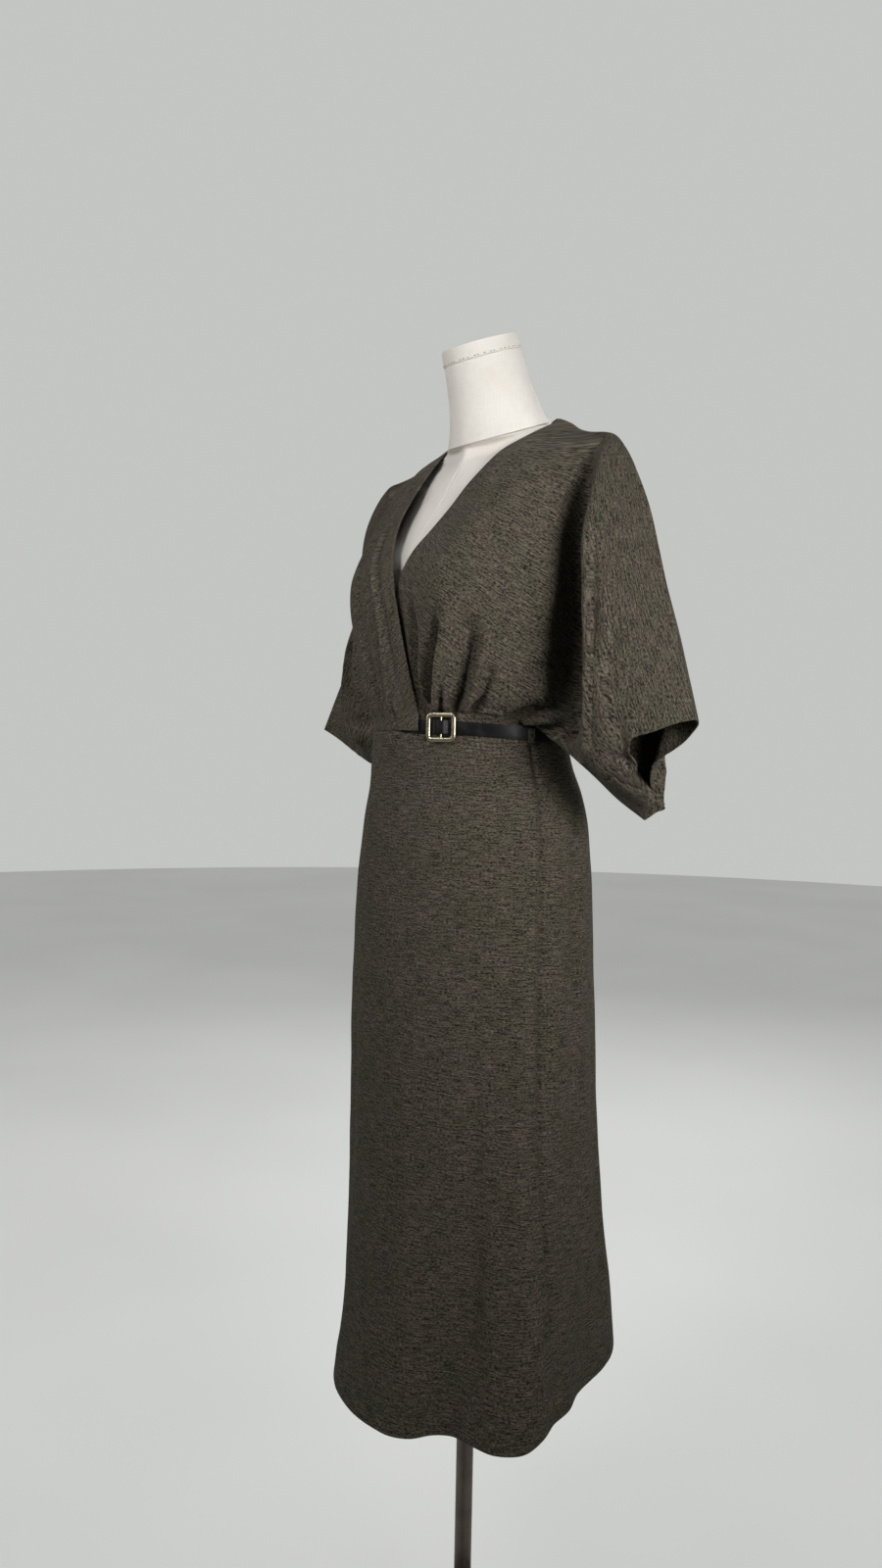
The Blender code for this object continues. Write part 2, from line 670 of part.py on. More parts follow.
def make_neck(name, rows, linen, lift):
    rings = []
    turn = Matrix.Rotation(NECK_TILT, 3, "X")
    for share, half_width, half_depth in rows:
        centre = NECK_BASE.lerp(NECK_TOP, share) + turn @ Vector((0, 0, lift))
        ring = []
        for i in range(FORM_POINTS):
            a = 2 * math.pi * i / FORM_POINTS
            flat = Vector((half_width * math.cos(a), half_depth * math.sin(a), 0)) * MM
            ring.append(centre + turn @ flat)
        rings.append(ring)
    loft(name, rings, linen)


def make_stand(steel, painted):
    """A round base plate, a pole, and the flanged collar that the form sits on."""
    rounding = 3 * MM
    base = (
        (0, 0),
        (BASE_RADIUS - 1 * MM, 0),
        (BASE_RADIUS, 1 * MM),
        (BASE_RADIUS, BASE_THICK - rounding),
        (BASE_RADIUS - rounding, BASE_THICK),
        (0, BASE_THICK),
    )
    lathe("stand_base", base, painted, 64)
    seat = FORM_BOTTOM - SEAM
    under = seat - FLANGE_THICK
    foot = under - COLLAR_HEIGHT
    collar = (
        (0, foot),
        (COLLAR_RADIUS - 2 * MM, foot),
        (COLLAR_RADIUS, foot + 2 * MM),
        (COLLAR_RADIUS, under),
        (FLANGE_RADIUS, under),
        (FLANGE_RADIUS, seat),
        (0, seat),
    )
    lathe("stand_collar", collar, painted, 32)
    rest = BASE_THICK + SEAM
    top = foot - SEAM
    pole = ((0, rest), (POLE_RADIUS, rest), (POLE_RADIUS, top), (0, top))
    lathe("stand_pole", pole, steel, 24)


def main():
    for obj in list(bpy.data.objects):
        bpy.data.objects.remove(obj)
    cloth = paint("olive melange cloth", (0.060, 0.056, 0.045), 0.92)
    leather = paint("black glossy leather", (0.010, 0.010, 0.011), 0.35)
    brass = paint("pale brass", (0.72, 0.66, 0.50), 0.22, 1.0)
    linen = paint("cream linen", (0.72, 0.68, 0.60), 0.9)
    steel = paint("dark steel tube", (0.20, 0.19, 0.18), 0.3, 1.0)
    painted = paint("black painted plate", (0.03, 0.03, 0.03), 0.5, 0.6)
    make_skirt(cloth)
    make_bodice(cloth)
    make_belt(leather, brass, cloth)
    make_form(linen)
    make_stand(steel, painted)


main()
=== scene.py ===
"""A belted surplice-wrap dress on a limbless form: its cloth, leather, brass and linen.

Metres, +Z up, the front towards -Y and the wearer's left towards +X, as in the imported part.
Tables are in millimetres and degrees, with heights taken from the waist and angles on the
waist's ellipse: 0 at the left side, -90 at the front.
"""

import math

import bmesh
import bpy
import numpy as np
from mathutils import Matrix, Vector


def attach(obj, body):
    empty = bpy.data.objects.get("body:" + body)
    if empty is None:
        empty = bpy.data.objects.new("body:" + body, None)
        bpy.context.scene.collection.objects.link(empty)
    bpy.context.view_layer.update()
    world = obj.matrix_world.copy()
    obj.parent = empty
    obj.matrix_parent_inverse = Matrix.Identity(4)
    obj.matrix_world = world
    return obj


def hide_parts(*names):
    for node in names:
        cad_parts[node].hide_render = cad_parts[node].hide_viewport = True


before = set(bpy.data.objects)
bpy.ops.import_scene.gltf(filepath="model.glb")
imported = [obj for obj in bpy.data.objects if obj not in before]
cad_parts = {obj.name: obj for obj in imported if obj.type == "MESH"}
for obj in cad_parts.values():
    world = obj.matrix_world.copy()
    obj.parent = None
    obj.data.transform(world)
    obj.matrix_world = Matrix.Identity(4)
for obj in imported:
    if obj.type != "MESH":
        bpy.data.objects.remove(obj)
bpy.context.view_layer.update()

MM = 0.001
CLOTH = 1.6 * MM
SEAM = 0.3 * MM

# How far the cloth swells between its seams, and how far from an edge it has swollen
PUFF = 0.7 * MM
EDGE_ROUND = 3 * MM

# Heights above the floor
WAIST = 1.210
FORM_BOTTOM = WAIST - 0.270

# The waist's ellipse
WAIST_HALF_WIDTH = 0.143
WAIST_HALF_DEPTH = 0.107
WAIST_CENTRE_Y = -0.020
SIDE_SEAM_ANGLE = -12.0

# The belt
BELT_WIDTH = 16 * MM
BELT_THICK = 1.8 * MM
BELT_STANDS_OFF = 1.3 * MM
BELT_ABOVE_SEAM = 5.5 * MM
OVER_BELT = BELT_ABOVE_SEAM + BELT_WIDTH / 2 + 3.5 * MM
BUCKLE_ANGLE = -62.5
BUCKLE_WIDTH = 40 * MM
BUCKLE_HEIGHT = 35 * MM
BUCKLE_BAR = 5.6 * MM
BUCKLE_THICK = 4.4 * MM
BUCKLE_CORNER = 7.5 * MM
BUCKLE_PIN = 1.0 * MM
BUCKLE_STANDS_OFF = 3.6 * MM
BELT_TAIL_ANGLE = -88.0
BELT_END_ANGLE = 180 - SIDE_SEAM_ANGLE - 8
LOOP_THICK = 1.2 * MM
LAP = 5.8 * MM

# The stand
POLE_RADIUS = 11 * MM
BASE_RADIUS = 0.160
BASE_THICK = 9 * MM
COLLAR_RADIUS = 24 * MM
COLLAR_HEIGHT = 40 * MM
FLANGE_RADIUS = 55 * MM
FLANGE_THICK = 5 * MM


# ---------------------------------------------------------------- curves and grids


def curve_at(points, where):
    """A smooth curve through the points, read at places counted in points."""
    points = np.asarray(points, float)
    step = np.diff(points, axis=0)
    length = np.linalg.norm(step, axis=-1, keepdims=True) + 1e-9
    slope = step / length
    tangent = np.concatenate((slope[:1], slope))
    inner = slope[:-1] * length[1:] + slope[1:] * length[:-1]
    tangent[1:-1] = inner / (length[:-1] + length[1:])
    where = np.asarray(where, float)
    i = np.minimum(where.astype(int), len(points) - 2)
    u = (where - i).reshape(-1, *[1] * (points.ndim - 1))
    return (
        (2 * u**3 - 3 * u**2 + 1) * points[i]
        + (u**3 - 2 * u**2 + u) * length[i] * tangent[i]
        + (3 * u**2 - 2 * u**3) * points[i + 1]
        + (u**3 - u**2) * length[i] * tangent[i + 1]
    )


def curve_through(points, spans):
    """The same curve, with the given number of spans in each stretch."""
    return curve_at(points, places(*[(i, i + 1, count) for i, count in enumerate(spans)]))


def places(*stretches):
    """Places along a grid; each stretch says from where, to where, and in how many steps."""
    found = [np.linspace(low, high, steps, endpoint=False) for low, high, steps in stretches]
    return np.append(np.concatenate(found), stretches[-1][1])


def finer(grid, columns, rows, turn=0):
    """The grid read smoothly at the places; it is straight up to row `turn`, where it bends."""
    low = (rows[rows < turn] / max(turn, 1))[None, :, None]
    straight = grid[:, :1] * (1 - low) + grid[:, turn : turn + 1] * low
    curved = curve_at(grid[:, turn:].swapaxes(0, 1), rows[rows >= turn] - turn)
    return curve_at(np.concatenate((straight, curved.swapaxes(0, 1)), axis=1), columns)


def unit(vectors):
    return vectors / (np.linalg.norm(vectors, axis=-1, keepdims=True) + 1e-12)


def normals_of(grid):
    """Unit normals of a grid of points; they follow the first index crossed with the second."""
    return unit(np.cross(np.gradient(grid, axis=0), np.gradient(grid, axis=1)))


def lengths(grid, axis):
    """How far each point of a grid lies along the cloth from the first one in its line."""
    step = np.linalg.norm(np.diff(grid, axis=axis), axis=-1)
    return np.insert(np.cumsum(step, axis=axis), 0, 0, axis=axis)


def rise(distance, reach):
    """Goes smoothly from 0 at the edge to 1 at `reach` from it."""
    share = np.clip(distance / reach, 0, 1)
    return share * share * (3 - 2 * share)


def swell(distance, spread):
    """A smooth bump, 1 in the middle and 0 from `spread` away."""
    reach = np.clip(np.abs(distance) / spread, 0, 1)
    return (1 + np.cos(math.pi * reach)) / 2


# ---------------------------------------------------------------- skins

WELD = 0.001 * MM
SHARP_ANGLE = 40
# How wide the rims are rounded
CLOTH_RIM = 0.45 * MM
FORM_RIM = 0.3 * MM
TURNED_RIM = 0.8 * MM


def laid_grid(columns, rows):
    """A flat grid of faces, to be laid on a grid of points."""
    bm = bmesh.new()
    bmesh.ops.create_grid(bm, x_segments=columns - 1, y_segments=rows - 1, size=0.5)
    return bm


def place_of(vert, columns, rows):
    """The column and row of a vertex of a flat grid."""
    return round((vert.co.x + 0.5) * (columns - 1)), round((vert.co.y + 0.5) * (rows - 1))


def plain_map(grid):
    """How far each point of a grid lies along its first index and along its second."""
    return np.stack((lengths(grid, 0), lengths(grid, 1)), axis=-1)


def map_cloth(bm, place, pattern):
    """Lays the material's own map, in metres along the cloth, on every corner.

    A pattern has a map for each stretch of columns, with the column where the stretch starts.
    """
    layer = bm.loops.layers.uv.new("laid")
    for face in bm.faces:
        first = min(place[vert][0] for vert in face.verts)
        laid = [points for start, points in pattern if start <= first][-1]
        for loop in face.loops:
            loop[layer].uv = laid[place[loop.vert]]


def added(name, data):
    """A new object in the scene."""
    made = bpy.data.objects.new(name, data)
    bpy.context.scene.collection.objects.link(made)
    return made


def meshed(bm, name, material):
    """A new object of one material, made from the mesh."""
    mesh = bpy.data.meshes.new(name)
    bm.to_mesh(mesh)
    bm.free()
    mesh.materials.append(material)
    return added(name, mesh)


def worn_piece(bm, name, material, node=None):
    """A smooth piece on the root body; it stands for a node of the part where one is given."""
    piece = meshed(bm, name, material)
    piece.data.shade_smooth()
    if node:
        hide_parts(node)
    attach(piece, "root")
    return piece


def finish(bm, material, slot, node):
    """Turns the mesh's faces outwards and makes it the piece that stands for the node."""
    bmesh.ops.recalc_face_normals(bm, faces=bm.faces[:])
    if bm.calc_volume(signed=True) < 0:
        bmesh.ops.reverse_faces(bm, faces=bm.faces[:])
    piece = worn_piece(bm, node + "_" + material.name.split("_")[-1], material, node)
    piece.data.set_sharp_from_angle(angle=math.radians(SHARP_ANGLE))
    return piece


def bevel(bm, edges, width, steps):
    bmesh.ops.bevel(
        bm, geom=edges, affect="EDGES", offset=width, segments=steps, profile=0.5, material=-1,
        clamp_overlap=True,
    )


def round_rims(bm, width, steps=2, angle=65):
    """Rounds the edges where two faces meet at more than the angle."""
    sharp = [e for e in bm.edges if e.is_manifold and e.calc_face_angle() > math.radians(angle)]
    bevel(bm, sharp, width, steps)


def wall(outer, inner, pattern, finishing, leave_out=None, rim=CLOTH_RIM):
    """A closed wall between two grids of points; leave_out(column, row) drops a cell."""
    columns, rows = outer.shape[:2]
    bm = laid_grid(columns, rows)
    if leave_out:
        gone = []
        for face in bm.faces:
            cell = np.min([place_of(v, columns, rows) for v in face.verts], axis=0)
            if leave_out(*cell):
                gone.append(face)
        bmesh.ops.delete(bm, geom=gone, context="FACES")
    made = bmesh.ops.extrude_face_region(bm, geom=bm.faces[:], use_keep_orig=True)
    lifted = {item for item in made["geom"] if isinstance(item, bmesh.types.BMVert)}
    place = {vert: place_of(vert, columns, rows) for vert in bm.verts}
    for vert, (column, row) in place.items():
        source = inner if vert in lifted else outer
        vert.co = source[column, row]
    map_cloth(bm, place, pattern)
    round_rims(bm, rim)
    return finish(bm, *finishing)


def tube(rings, finishing):
    """A closed body round rings of points, each of which ends where it starts."""
    rings = np.asarray(rings)
    count, around = rings.shape[:2]
    bm = laid_grid(count, around)
    place = {vert: place_of(vert, count, around) for vert in bm.verts}
    for vert, (ring, step) in place.items():
        vert.co = rings[ring, step]
    map_cloth(bm, place, [(0, plain_map(rings)[..., ::-1])])
    bmesh.ops.remove_doubles(bm, verts=bm.verts[:], dist=WELD)
    bmesh.ops.holes_fill(bm, edges=bm.edges[:], sides=0)
    round_rims(bm, FORM_RIM, steps=3)
    finish(bm, *finishing)


def lathe(profile, finishing, steps):
    """A turned solid from (radius, height) points, the first and last on the axis."""
    bm = bmesh.new()
    verts = [bm.verts.new((radius, 0, height)) for radius, height in profile]
    edges = [bm.edges.new(pair) for pair in zip(verts, verts[1:])]
    bmesh.ops.spin(
        bm, geom=verts + edges, axis=(0, 0, 1), cent=(0, 0, 0), steps=steps, angle=2 * math.pi,
        use_merge=True,
    )
    bmesh.ops.remove_doubles(bm, verts=bm.verts[:], dist=WELD)
    round_rims(bm, TURNED_RIM, steps=3, angle=40)
    finish(bm, *finishing)


# ---------------------------------------------------------------- materials


class Socket:
    """A value in a material. Arithmetic on it adds Math nodes."""

    def __init__(self, tree, output=None):
        self.tree = tree
        self.output = output

    def node(self, kind, settings=None, sockets=None, output=0):
        """A new node: its settings come first, then the values or links of its sockets."""
        made = self.tree.nodes.new(kind)
        for name, value in (settings or {}).items():
            setattr(made, name, value)
        for name, value in (sockets or {}).items():
            if isinstance(value, Socket):
                self.tree.links.new(value.output, made.inputs[name])
            else:
                made.inputs[name].default_value = value
        return Socket(self.tree, None if output is None else made.outputs[output])

    def math(self, operation, first, second=0.0):
        return self.node("ShaderNodeMath", {"operation": operation}, {0: first, 1: second})

    def at_least(self, low):
        return self.math("MAXIMUM", self, low)

    def __add__(self, other):
        return self.math("ADD", self, other)

    def __sub__(self, other):
        return self.math("SUBTRACT", self, other)

    def __rsub__(self, other):
        return self.math("SUBTRACT", other, self)

    def __mul__(self, other):
        return self.math("MULTIPLY", self, other)

    __radd__ = __add__
    __rmul__ = __mul__

    def wave(self, pitch):
        """Rises and falls once in every `pitch`, between -1 and 1."""
        return self.math("SINE", self * (2 * math.pi / pitch))

    def between(self, low, high):
        """Goes from 0 to 1 as the value goes from low to high."""
        sockets = {"Value": self, "From Min": low, "From Max": high}
        return self.node("ShaderNodeMapRange", {"interpolation_type": "SMOOTHSTEP"}, sockets)

    def noise(self, size, detail, stretch=(1, 1, 1)):
        """Cloudy noise whose patches are about `size` across, longer where stretched."""
        scale = [1 / (size * s) for s in stretch]
        mapped = self.node("ShaderNodeMapping", None, {"Vector": self, "Scale": scale})
        sockets = {"Vector": mapped, "Scale": 1.0, "Detail": detail}
        return self.node("ShaderNodeTexNoise", None, sockets)

    def grain(self, size, detail, stretch=(1, 1, 1)):
        """The same noise, shifted to vary about 0."""
        return self.noise(size, detail, stretch) - 0.5

    def blend(self, first, second):
        """The first colour where the value is 0 and the second where it is 1."""
        settings = {"data_type": "RGBA", "clamp_factor": True}
        sockets = {0: self, 6: first, 7: second}
        return self.node("ShaderNodeMix", settings, sockets, 2)

    def scaled(self, colour):
        """The colour made lighter or darker by the value."""
        return self.node("ShaderNodeVectorMath", {"operation": "SCALE"}, {0: colour, 3: self})

    def axis(self, index):
        return self.node("ShaderNodeSeparateXYZ", None, {0: self}, index)

    def relief(self, depth):
        """A normal for a surface whose height varies by the value times `depth`."""
        return self.node("ShaderNodeBump", None, {"Height": self, "Distance": depth, "Strength": 1.0})


class Finish:
    """A material that starts as one plain shader."""

    def __init__(self, name, **fixed):
        self.material = bpy.data.materials.new(name)
        self.material.use_nodes = True
        self.tree = self.material.node_tree
        self.shader = self.tree.nodes["Principled BSDF"]
        for socket, value in fixed.items():
            self.shader.inputs[socket.replace("_", " ")].default_value = value
        self.start = Socket(self.tree)

    def laid(self):
        """The piece's own map, in metres along the cloth."""
        return self.start.node("ShaderNodeUVMap", {"uv_map": "laid"})

    def place(self):
        return self.start.node("ShaderNodeTexCoord", None, None, 3)

    def feed(self, **links):
        for name, value in links.items():
            self.tree.links.new(value.output, self.shader.inputs[name.replace("_", " ")])
        return self.material


def colour(red, green, blue):
    return (red, green, blue, 1)


def melange_cloth():
    """Brown and olive fibres spun into one dark yarn, with slubs along the weft and a soft nap."""
    cloth = Finish(
        "melange_cloth", Roughness=0.88, Specular_IOR_Level=0.22, Sheen_Weight=0.06,
        Sheen_Roughness=0.5, Sheen_Tint=colour(0.74, 0.76, 0.66),
    )
    laid = cloth.laid()
    patches = laid.noise(34 * MM, 2, (1.6, 1, 1)).between(0.36, 0.64)
    small_patches = laid.noise(6 * MM, 2, (2, 1, 1)).between(0.35, 0.65)
    slubs = laid.grain(1.9 * MM, 2, (9, 1, 1))
    threads = laid.grain(1.1 * MM, 1, (3, 1, 1))
    flecks = laid.grain(1.5 * MM, 2, (2.2, 1, 1))
    rib = (laid.axis(0) + laid.axis(1)).wave(1.1 * MM) * laid.axis(1).wave(0.9 * MM)
    olive = small_patches.blend(colour(0.066, 0.061, 0.043), colour(0.075, 0.064, 0.044))
    brown = small_patches.blend(colour(0.088, 0.069, 0.053), colour(0.077, 0.066, 0.051))
    tone = patches.blend(olive, brown)
    light = (1.0 + slubs * 3.4 + threads * 1.8 + flecks * 4.6).at_least(0.12)
    height = slubs * 0.2 + threads * 0.3 + flecks * 0.6 + rib * 0.12
    return cloth.feed(Base_Color=light.scaled(tone), Normal=height.relief(0.6 * MM))


def black_leather():
    """Thin polished leather, with fine grain and faint marks along the strap."""
    leather = Finish("black_leather", Specular_IOR_Level=0.15, Coat_Weight=0.08, Coat_Roughness=0.3)
    laid = leather.laid()
    grain = laid.grain(0.9 * MM, 3)
    drawn = laid.grain(1.1 * MM, 2, (30, 1, 1))
    worn = laid.noise(14 * MM, 2).between(0.45, 0.7)
    tone = worn.blend(colour(0.006, 0.006, 0.006), colour(0.016, 0.015, 0.015))
    return leather.feed(
        Base_Color=tone,
        Roughness=0.42 + drawn * 0.25 + worn * 0.10,
        Normal=(grain * 0.5 + drawn).relief(0.25 * MM),
    )


def polished_brass():
    """Pale polished brass, a little dull where it is handled."""
    brass = Finish("polished_brass", Metallic=1.0)
    place = brass.place()
    handled = place.noise(9 * MM, 3).between(0.4, 0.75)
    fine = place.grain(0.7 * MM, 2)
    tone = handled.blend(colour(0.66, 0.60, 0.44), colour(0.52, 0.45, 0.30))
    return brass.feed(
        Base_Color=tone,
        Roughness=0.26 + handled * 0.12 + fine * 0.05,
        Normal=fine.relief(0.05 * MM),
    )


def cream_linen():
    """Cream linen pulled over padding, in a plain weave with a few thicker threads."""
    linen = Finish(
        "cream_linen", Roughness=0.88, Specular_IOR_Level=0.2, Sheen_Weight=0.12, Sheen_Roughness=0.5
    )
    laid = linen.laid()
    weave = laid.axis(0).wave(1.0 * MM) * laid.axis(1).wave(1.0 * MM)
    warp = laid.grain(1.3 * MM, 2, (1, 14, 1))
    weft = laid.grain(1.3 * MM, 2, (14, 1, 1))
    soil = linen.place().noise(70 * MM, 3).between(0.35, 0.75)
    tone = soil.blend(colour(0.87, 0.83, 0.77), colour(0.82, 0.77, 0.70))
    light = 1.0 + (warp + weft) * 0.14 + weave * 0.02
    return linen.feed(
        Base_Color=light.scaled(tone),
        Normal=(weave * 0.25 + warp + weft).relief(0.25 * MM),
    )


def brown_thread():
    """Dark brown sewing thread, twisted from two strands."""
    thread = Finish("brown_thread", Roughness=0.75, Specular_IOR_Level=0.2)
    place = thread.place()
    strands = place.grain(0.5 * MM, 2)
    worn = place.noise(12 * MM, 2).between(0.35, 0.7)
    tone = worn.blend(colour(0.14, 0.095, 0.060), colour(0.34, 0.27, 0.19))
    return thread.feed(Base_Color=(1.0 + strands * 0.6).scaled(tone), Normal=strands.relief(0.1 * MM))


def brushed_steel():
    """A dark bronzed steel tube, brushed along its length."""
    steel = Finish("brushed_steel", Metallic=1.0)
    place = steel.place()
    drawn = place.grain(1.2 * MM, 2, (1, 1, 60))
    dull = place.noise(60 * MM, 3).between(0.4, 0.7)
    tone = dull.blend(colour(0.24, 0.20, 0.17), colour(0.17, 0.145, 0.125))
    return steel.feed(
        Base_Color=tone,
        Roughness=0.24 + drawn * 0.18 + dull * 0.10,
        Normal=drawn.relief(0.08 * MM),
    )


def painted_iron():
    """Black paint with a fine orange-peel skin, rubbed a little on its edges and dusty on top."""
    paint = Finish("painted_iron", Specular_IOR_Level=0.5, Coat_Weight=0.15, Coat_Roughness=0.3)
    place = paint.place()
    peel = place.grain(1.6 * MM, 2)
    dust = place.noise(45 * MM, 4).between(0.4, 0.8)
    tone = dust.blend(colour(0.018, 0.018, 0.019), colour(0.040, 0.038, 0.036))
    return paint.feed(
        Base_Color=tone,
        Roughness=0.38 + dust * 0.22 + peel * 0.1,
        Normal=peel.relief(0.10 * MM),
    )


def pale_floor():
    """A plain pale floor, which glows a little for the camera alone."""
    floor = Finish("pale_floor", Roughness=0.7, Emission_Strength=1.0)
    cloudy = floor.place().noise(900 * MM, 2).between(0.3, 0.7)
    tone = cloudy.blend(colour(0.62, 0.63, 0.61), colour(0.65, 0.66, 0.64))
    seen = floor.start.node("ShaderNodeLightPath")
    return floor.feed(Base_Color=tone, Emission_Color=(seen * 0.5).scaled(tone))


# ---------------------------------------------------------------- the waist


WAIST_SEAM_LOW = 0.003
WAIST_SEAM_RISE = 0.0105


def waist_height(angle):
    """The waist seam runs a little higher at the front than at the side and back."""
    frontness = (1 - np.sin(np.radians(angle))) / 2
    return WAIST - WAIST_SEAM_LOW + WAIST_SEAM_RISE * frontness**2


def waist_point(angle, out, above=0.0):
    """A point on the waist seam, moved out and up from it."""
    radians = np.radians(angle)
    x = (WAIST_HALF_WIDTH + out) * np.cos(radians)
    y = WAIST_CENTRE_Y + (WAIST_HALF_DEPTH + out) * np.sin(radians)
    return np.stack(np.broadcast_arrays(x, y, waist_height(angle) + above), axis=-1)


# ---------------------------------------------------------------- the skirt

# Nominal height from the waist down, and what the skirt measures there
SKIRT_SECTIONS = (
    # height, half_width, front, back, seam_angle
    (0, 143, -127, 87, -12),
    (-32, 149.5, -125, 94, -13),
    (-65, 158, -124, 106, -14.5),
    (-99, 165, -129, 114, -15.5),
    (-150, 170, -135, 119, -16),
    (-300, 174, -142, 128, -16.5),
    (-500, 176, -143, 140, -16.5),
    (-600, 179, -147, 150, -14.5),
    (-700, 181, -155, 165, -12),
    (-795, 181, -170, 176, -8),
)
# Soft folds that open towards the hem: angle, half width in degrees, depth at the hem
# (outwards is positive) and the height where each one dies out
SKIRT_FOLDS = (
    # angle, spread, depth, top
    (-25, 21, 31, -330),
    (-53, 19, -24, -420),
    (-100, 26, -1, -500),
    (14, 18, -13, -300),
    (47, 19, 10, -450),
    (85, 22, -9, -350),
    (118, 18, 12, -400),
    (152, 20, -10, -480),
    (196, 24, 13, -380),
    (226, 18, -9, -450),
)
HEM = -795
HEM_TILT = 25 * MM
FOLDS_OPEN = 1.4
SKIRT_COLUMNS = 20
SKIRT_ROWS = (2, 1, 1, 1, 2, 3, 1, 1, 1)


def skirt_ring():
    """Points round the skirt: columns from the left seam over the front and back again."""
    sections = curve_through(np.array(SKIRT_SECTIONS), SKIRT_ROWS)
    shares = np.arange(2 * SKIRT_COLUMNS) / SKIRT_COLUMNS
    ring = np.empty((len(shares), len(sections), 3))
    for row, (height, half_width, front, back, seam_angle) in enumerate(sections):
        front_angles = seam_angle - shares * (180 + 2 * seam_angle)
        back_angles = seam_angle + (2 - shares) * (180 - 2 * seam_angle)
        angles = np.where(shares <= 1, front_angles, back_angles)
        radians = np.radians(angles)
        along = np.stack((np.cos(radians), np.sin(radians)), axis=-1)
        flat = along * (half_width, (back - front) / 2) + (0, (back + front) / 2)
        for angle, spread, depth, top in SKIRT_FOLDS:
            opening = np.clip((height - top) / (HEM - top), 0, 1) ** FOLDS_OPEN
            around = (angles - angle + 180) % 360 - 180
            flat = flat + along * (swell(around, spread) * depth * opening)[:, None]
        low = WAIST + HEM * MM + HEM_TILT * np.sin(radians)
        top_edge = waist_height(angles) - SEAM / 2
        ring[:, row, :2] = flat * MM
        ring[:, row, 2] = top_edge + (height / HEM) * (low - top_edge)
    return ring


# ---------------------------------------------------------------- the bodice and its sleeves

# Each line has a name and runs up the cloth. Its foot is an angle on the waist, or a point on
# the underarm seam. Then comes a point at each height: blouse, ribs, bust or shoulder blade,
# chest, collar and shoulder seam.
FRONT_LINES = (
    ("edge", -108, (-37, -121, 42), (-16, -130, 115), (5, -138, 192), (31, -84, 281),
     (59, -30, 354), (111, 28, 398)),
    ("beside", -80, (26, -125, 44), (37, -135, 115), (50, -140, 195), (63, -90, 272),
     (85, -37, 350), (132, 25, 388)),
    ("bust", -58, (84, -124, 45), (88, -135, 115), (90, -140, 195), (100, -94, 268),
     (113, -40, 338), (152, 20, 376)),
    ("side", -35, (126, -94, 40), (132, -99, 112), (137, -100, 190), (147, -74, 262),
     (152, -31, 329), (175, 13, 367)),
    ("lip", -12, (152, -62, 32), (162, -66, 102), (165, -56, 180), (169, -40, 255),
     (177, -19, 322), (194, 7, 362)),
)
LEFT_SLEEVE_FRONT = (
    ("valley", (172, -40, 1), (187, -28, 12), (186, -15, 90), (186, -8, 170), (188, -9, 252),
     (196, -8, 322), (210, 3, 358)),
    ("fold", (206, -30, -24), (254, -64, -24), (263, -75, 78), (234, -50, 185), (212, -27, 270),
     (212, -12, 328), (224, 1, 353)),
    ("upper", (224, -22, -40), (264, -56, -36), (276, -76, 43), (254, -57, 134), (243, -40, 210),
     (248, -20, 268), (263, 0, 301)),
    ("face", (253, -12, -66), (276, -42, -48), (289, -67, 10), (277, -58, 85), (285, -38, 130),
     (297, -16, 162), (306, 0, 175)),
    ("cuff", (283, 0, -88), (296, -10, -69), (301, -35, -37), (310, -55, 2), (328, -43, 10),
     (345, -22, 20), (355, -6, 24)),
)
BACK_LINES = (
    ("edge", 66, (64, 95, 45), (68, 100, 112), (72, 102, 198), (78, 92, 282), (88, 66, 345),
     (111, 28, 398)),
    ("beside", 50, (88, 86, 44), (92, 92, 112), (96, 94, 196), (102, 82, 280), (112, 58, 342),
     (132, 25, 388)),
    ("blade", 32, (112, 70, 42), (115, 77, 110), (120, 82, 194), (128, 68, 276), (138, 48, 337),
     (152, 20, 376)),
    ("side", 12, (137, 44, 38), (141, 56, 106), (147, 64, 190), (154, 52, 272), (164, 37, 332),
     (175, 13, 367)),
    ("lip", -12, (155, 5, 34), (163, 32, 98), (171, 44, 182), (177, 38, 266), (185, 25, 327),
     (194, 7, 362)),
)
LEFT_SLEEVE_BACK = (
    ("valley", (172, -40, 1), (178, -6, 20), (190, 20, 88), (193, 26, 168), (195, 22, 256),
     (201, 14, 322), (210, 3, 358)),
    ("fold", (206, -30, -24), (232, 32, -12), (247, 54, 76), (237, 50, 178), (225, 36, 262),
     (220, 18, 322), (224, 1, 353)),
    ("upper", (224, -22, -40), (248, 34, -30), (262, 54, 42), (257, 49, 128), (250, 37, 205),
     (252, 20, 266), (263, 0, 301)),
    ("face", (253, -12, -66), (268, 42, -46), (276, 46, 8), (281, 43, 74), (289, 33, 122),
     (299, 18, 156), (306, 0, 175)),
    ("cuff", (283, 0, -88), (273, 46, -75), (268, 27, -51), (280, 16, -29), (315, 27, 0),
     (337, 22, 18), (355, -6, 24)),
)
SPINE_LINE = (
    "spine", 90, (0, 99, 50), (0, 103, 113), (0, 107, 200), (0, 99, 285), (0, 86, 345), (0, 80, 386),
)
# The right front's own free edge stands off the left front that it laps over
RIGHT_EDGE_LINES = (
    ("edge", -104, (-31, -131, 45), (-18, -143, 120), (-4, -147, 197), (40, -103, 276),
     (66, -32, 356), (111, 28, 398)),
    ("beside", -80, (28, -134, 45), (31, -144, 118), (47, -147, 197), (68, -98, 272),
     (88, -39, 351), (132, 25, 388)),
)
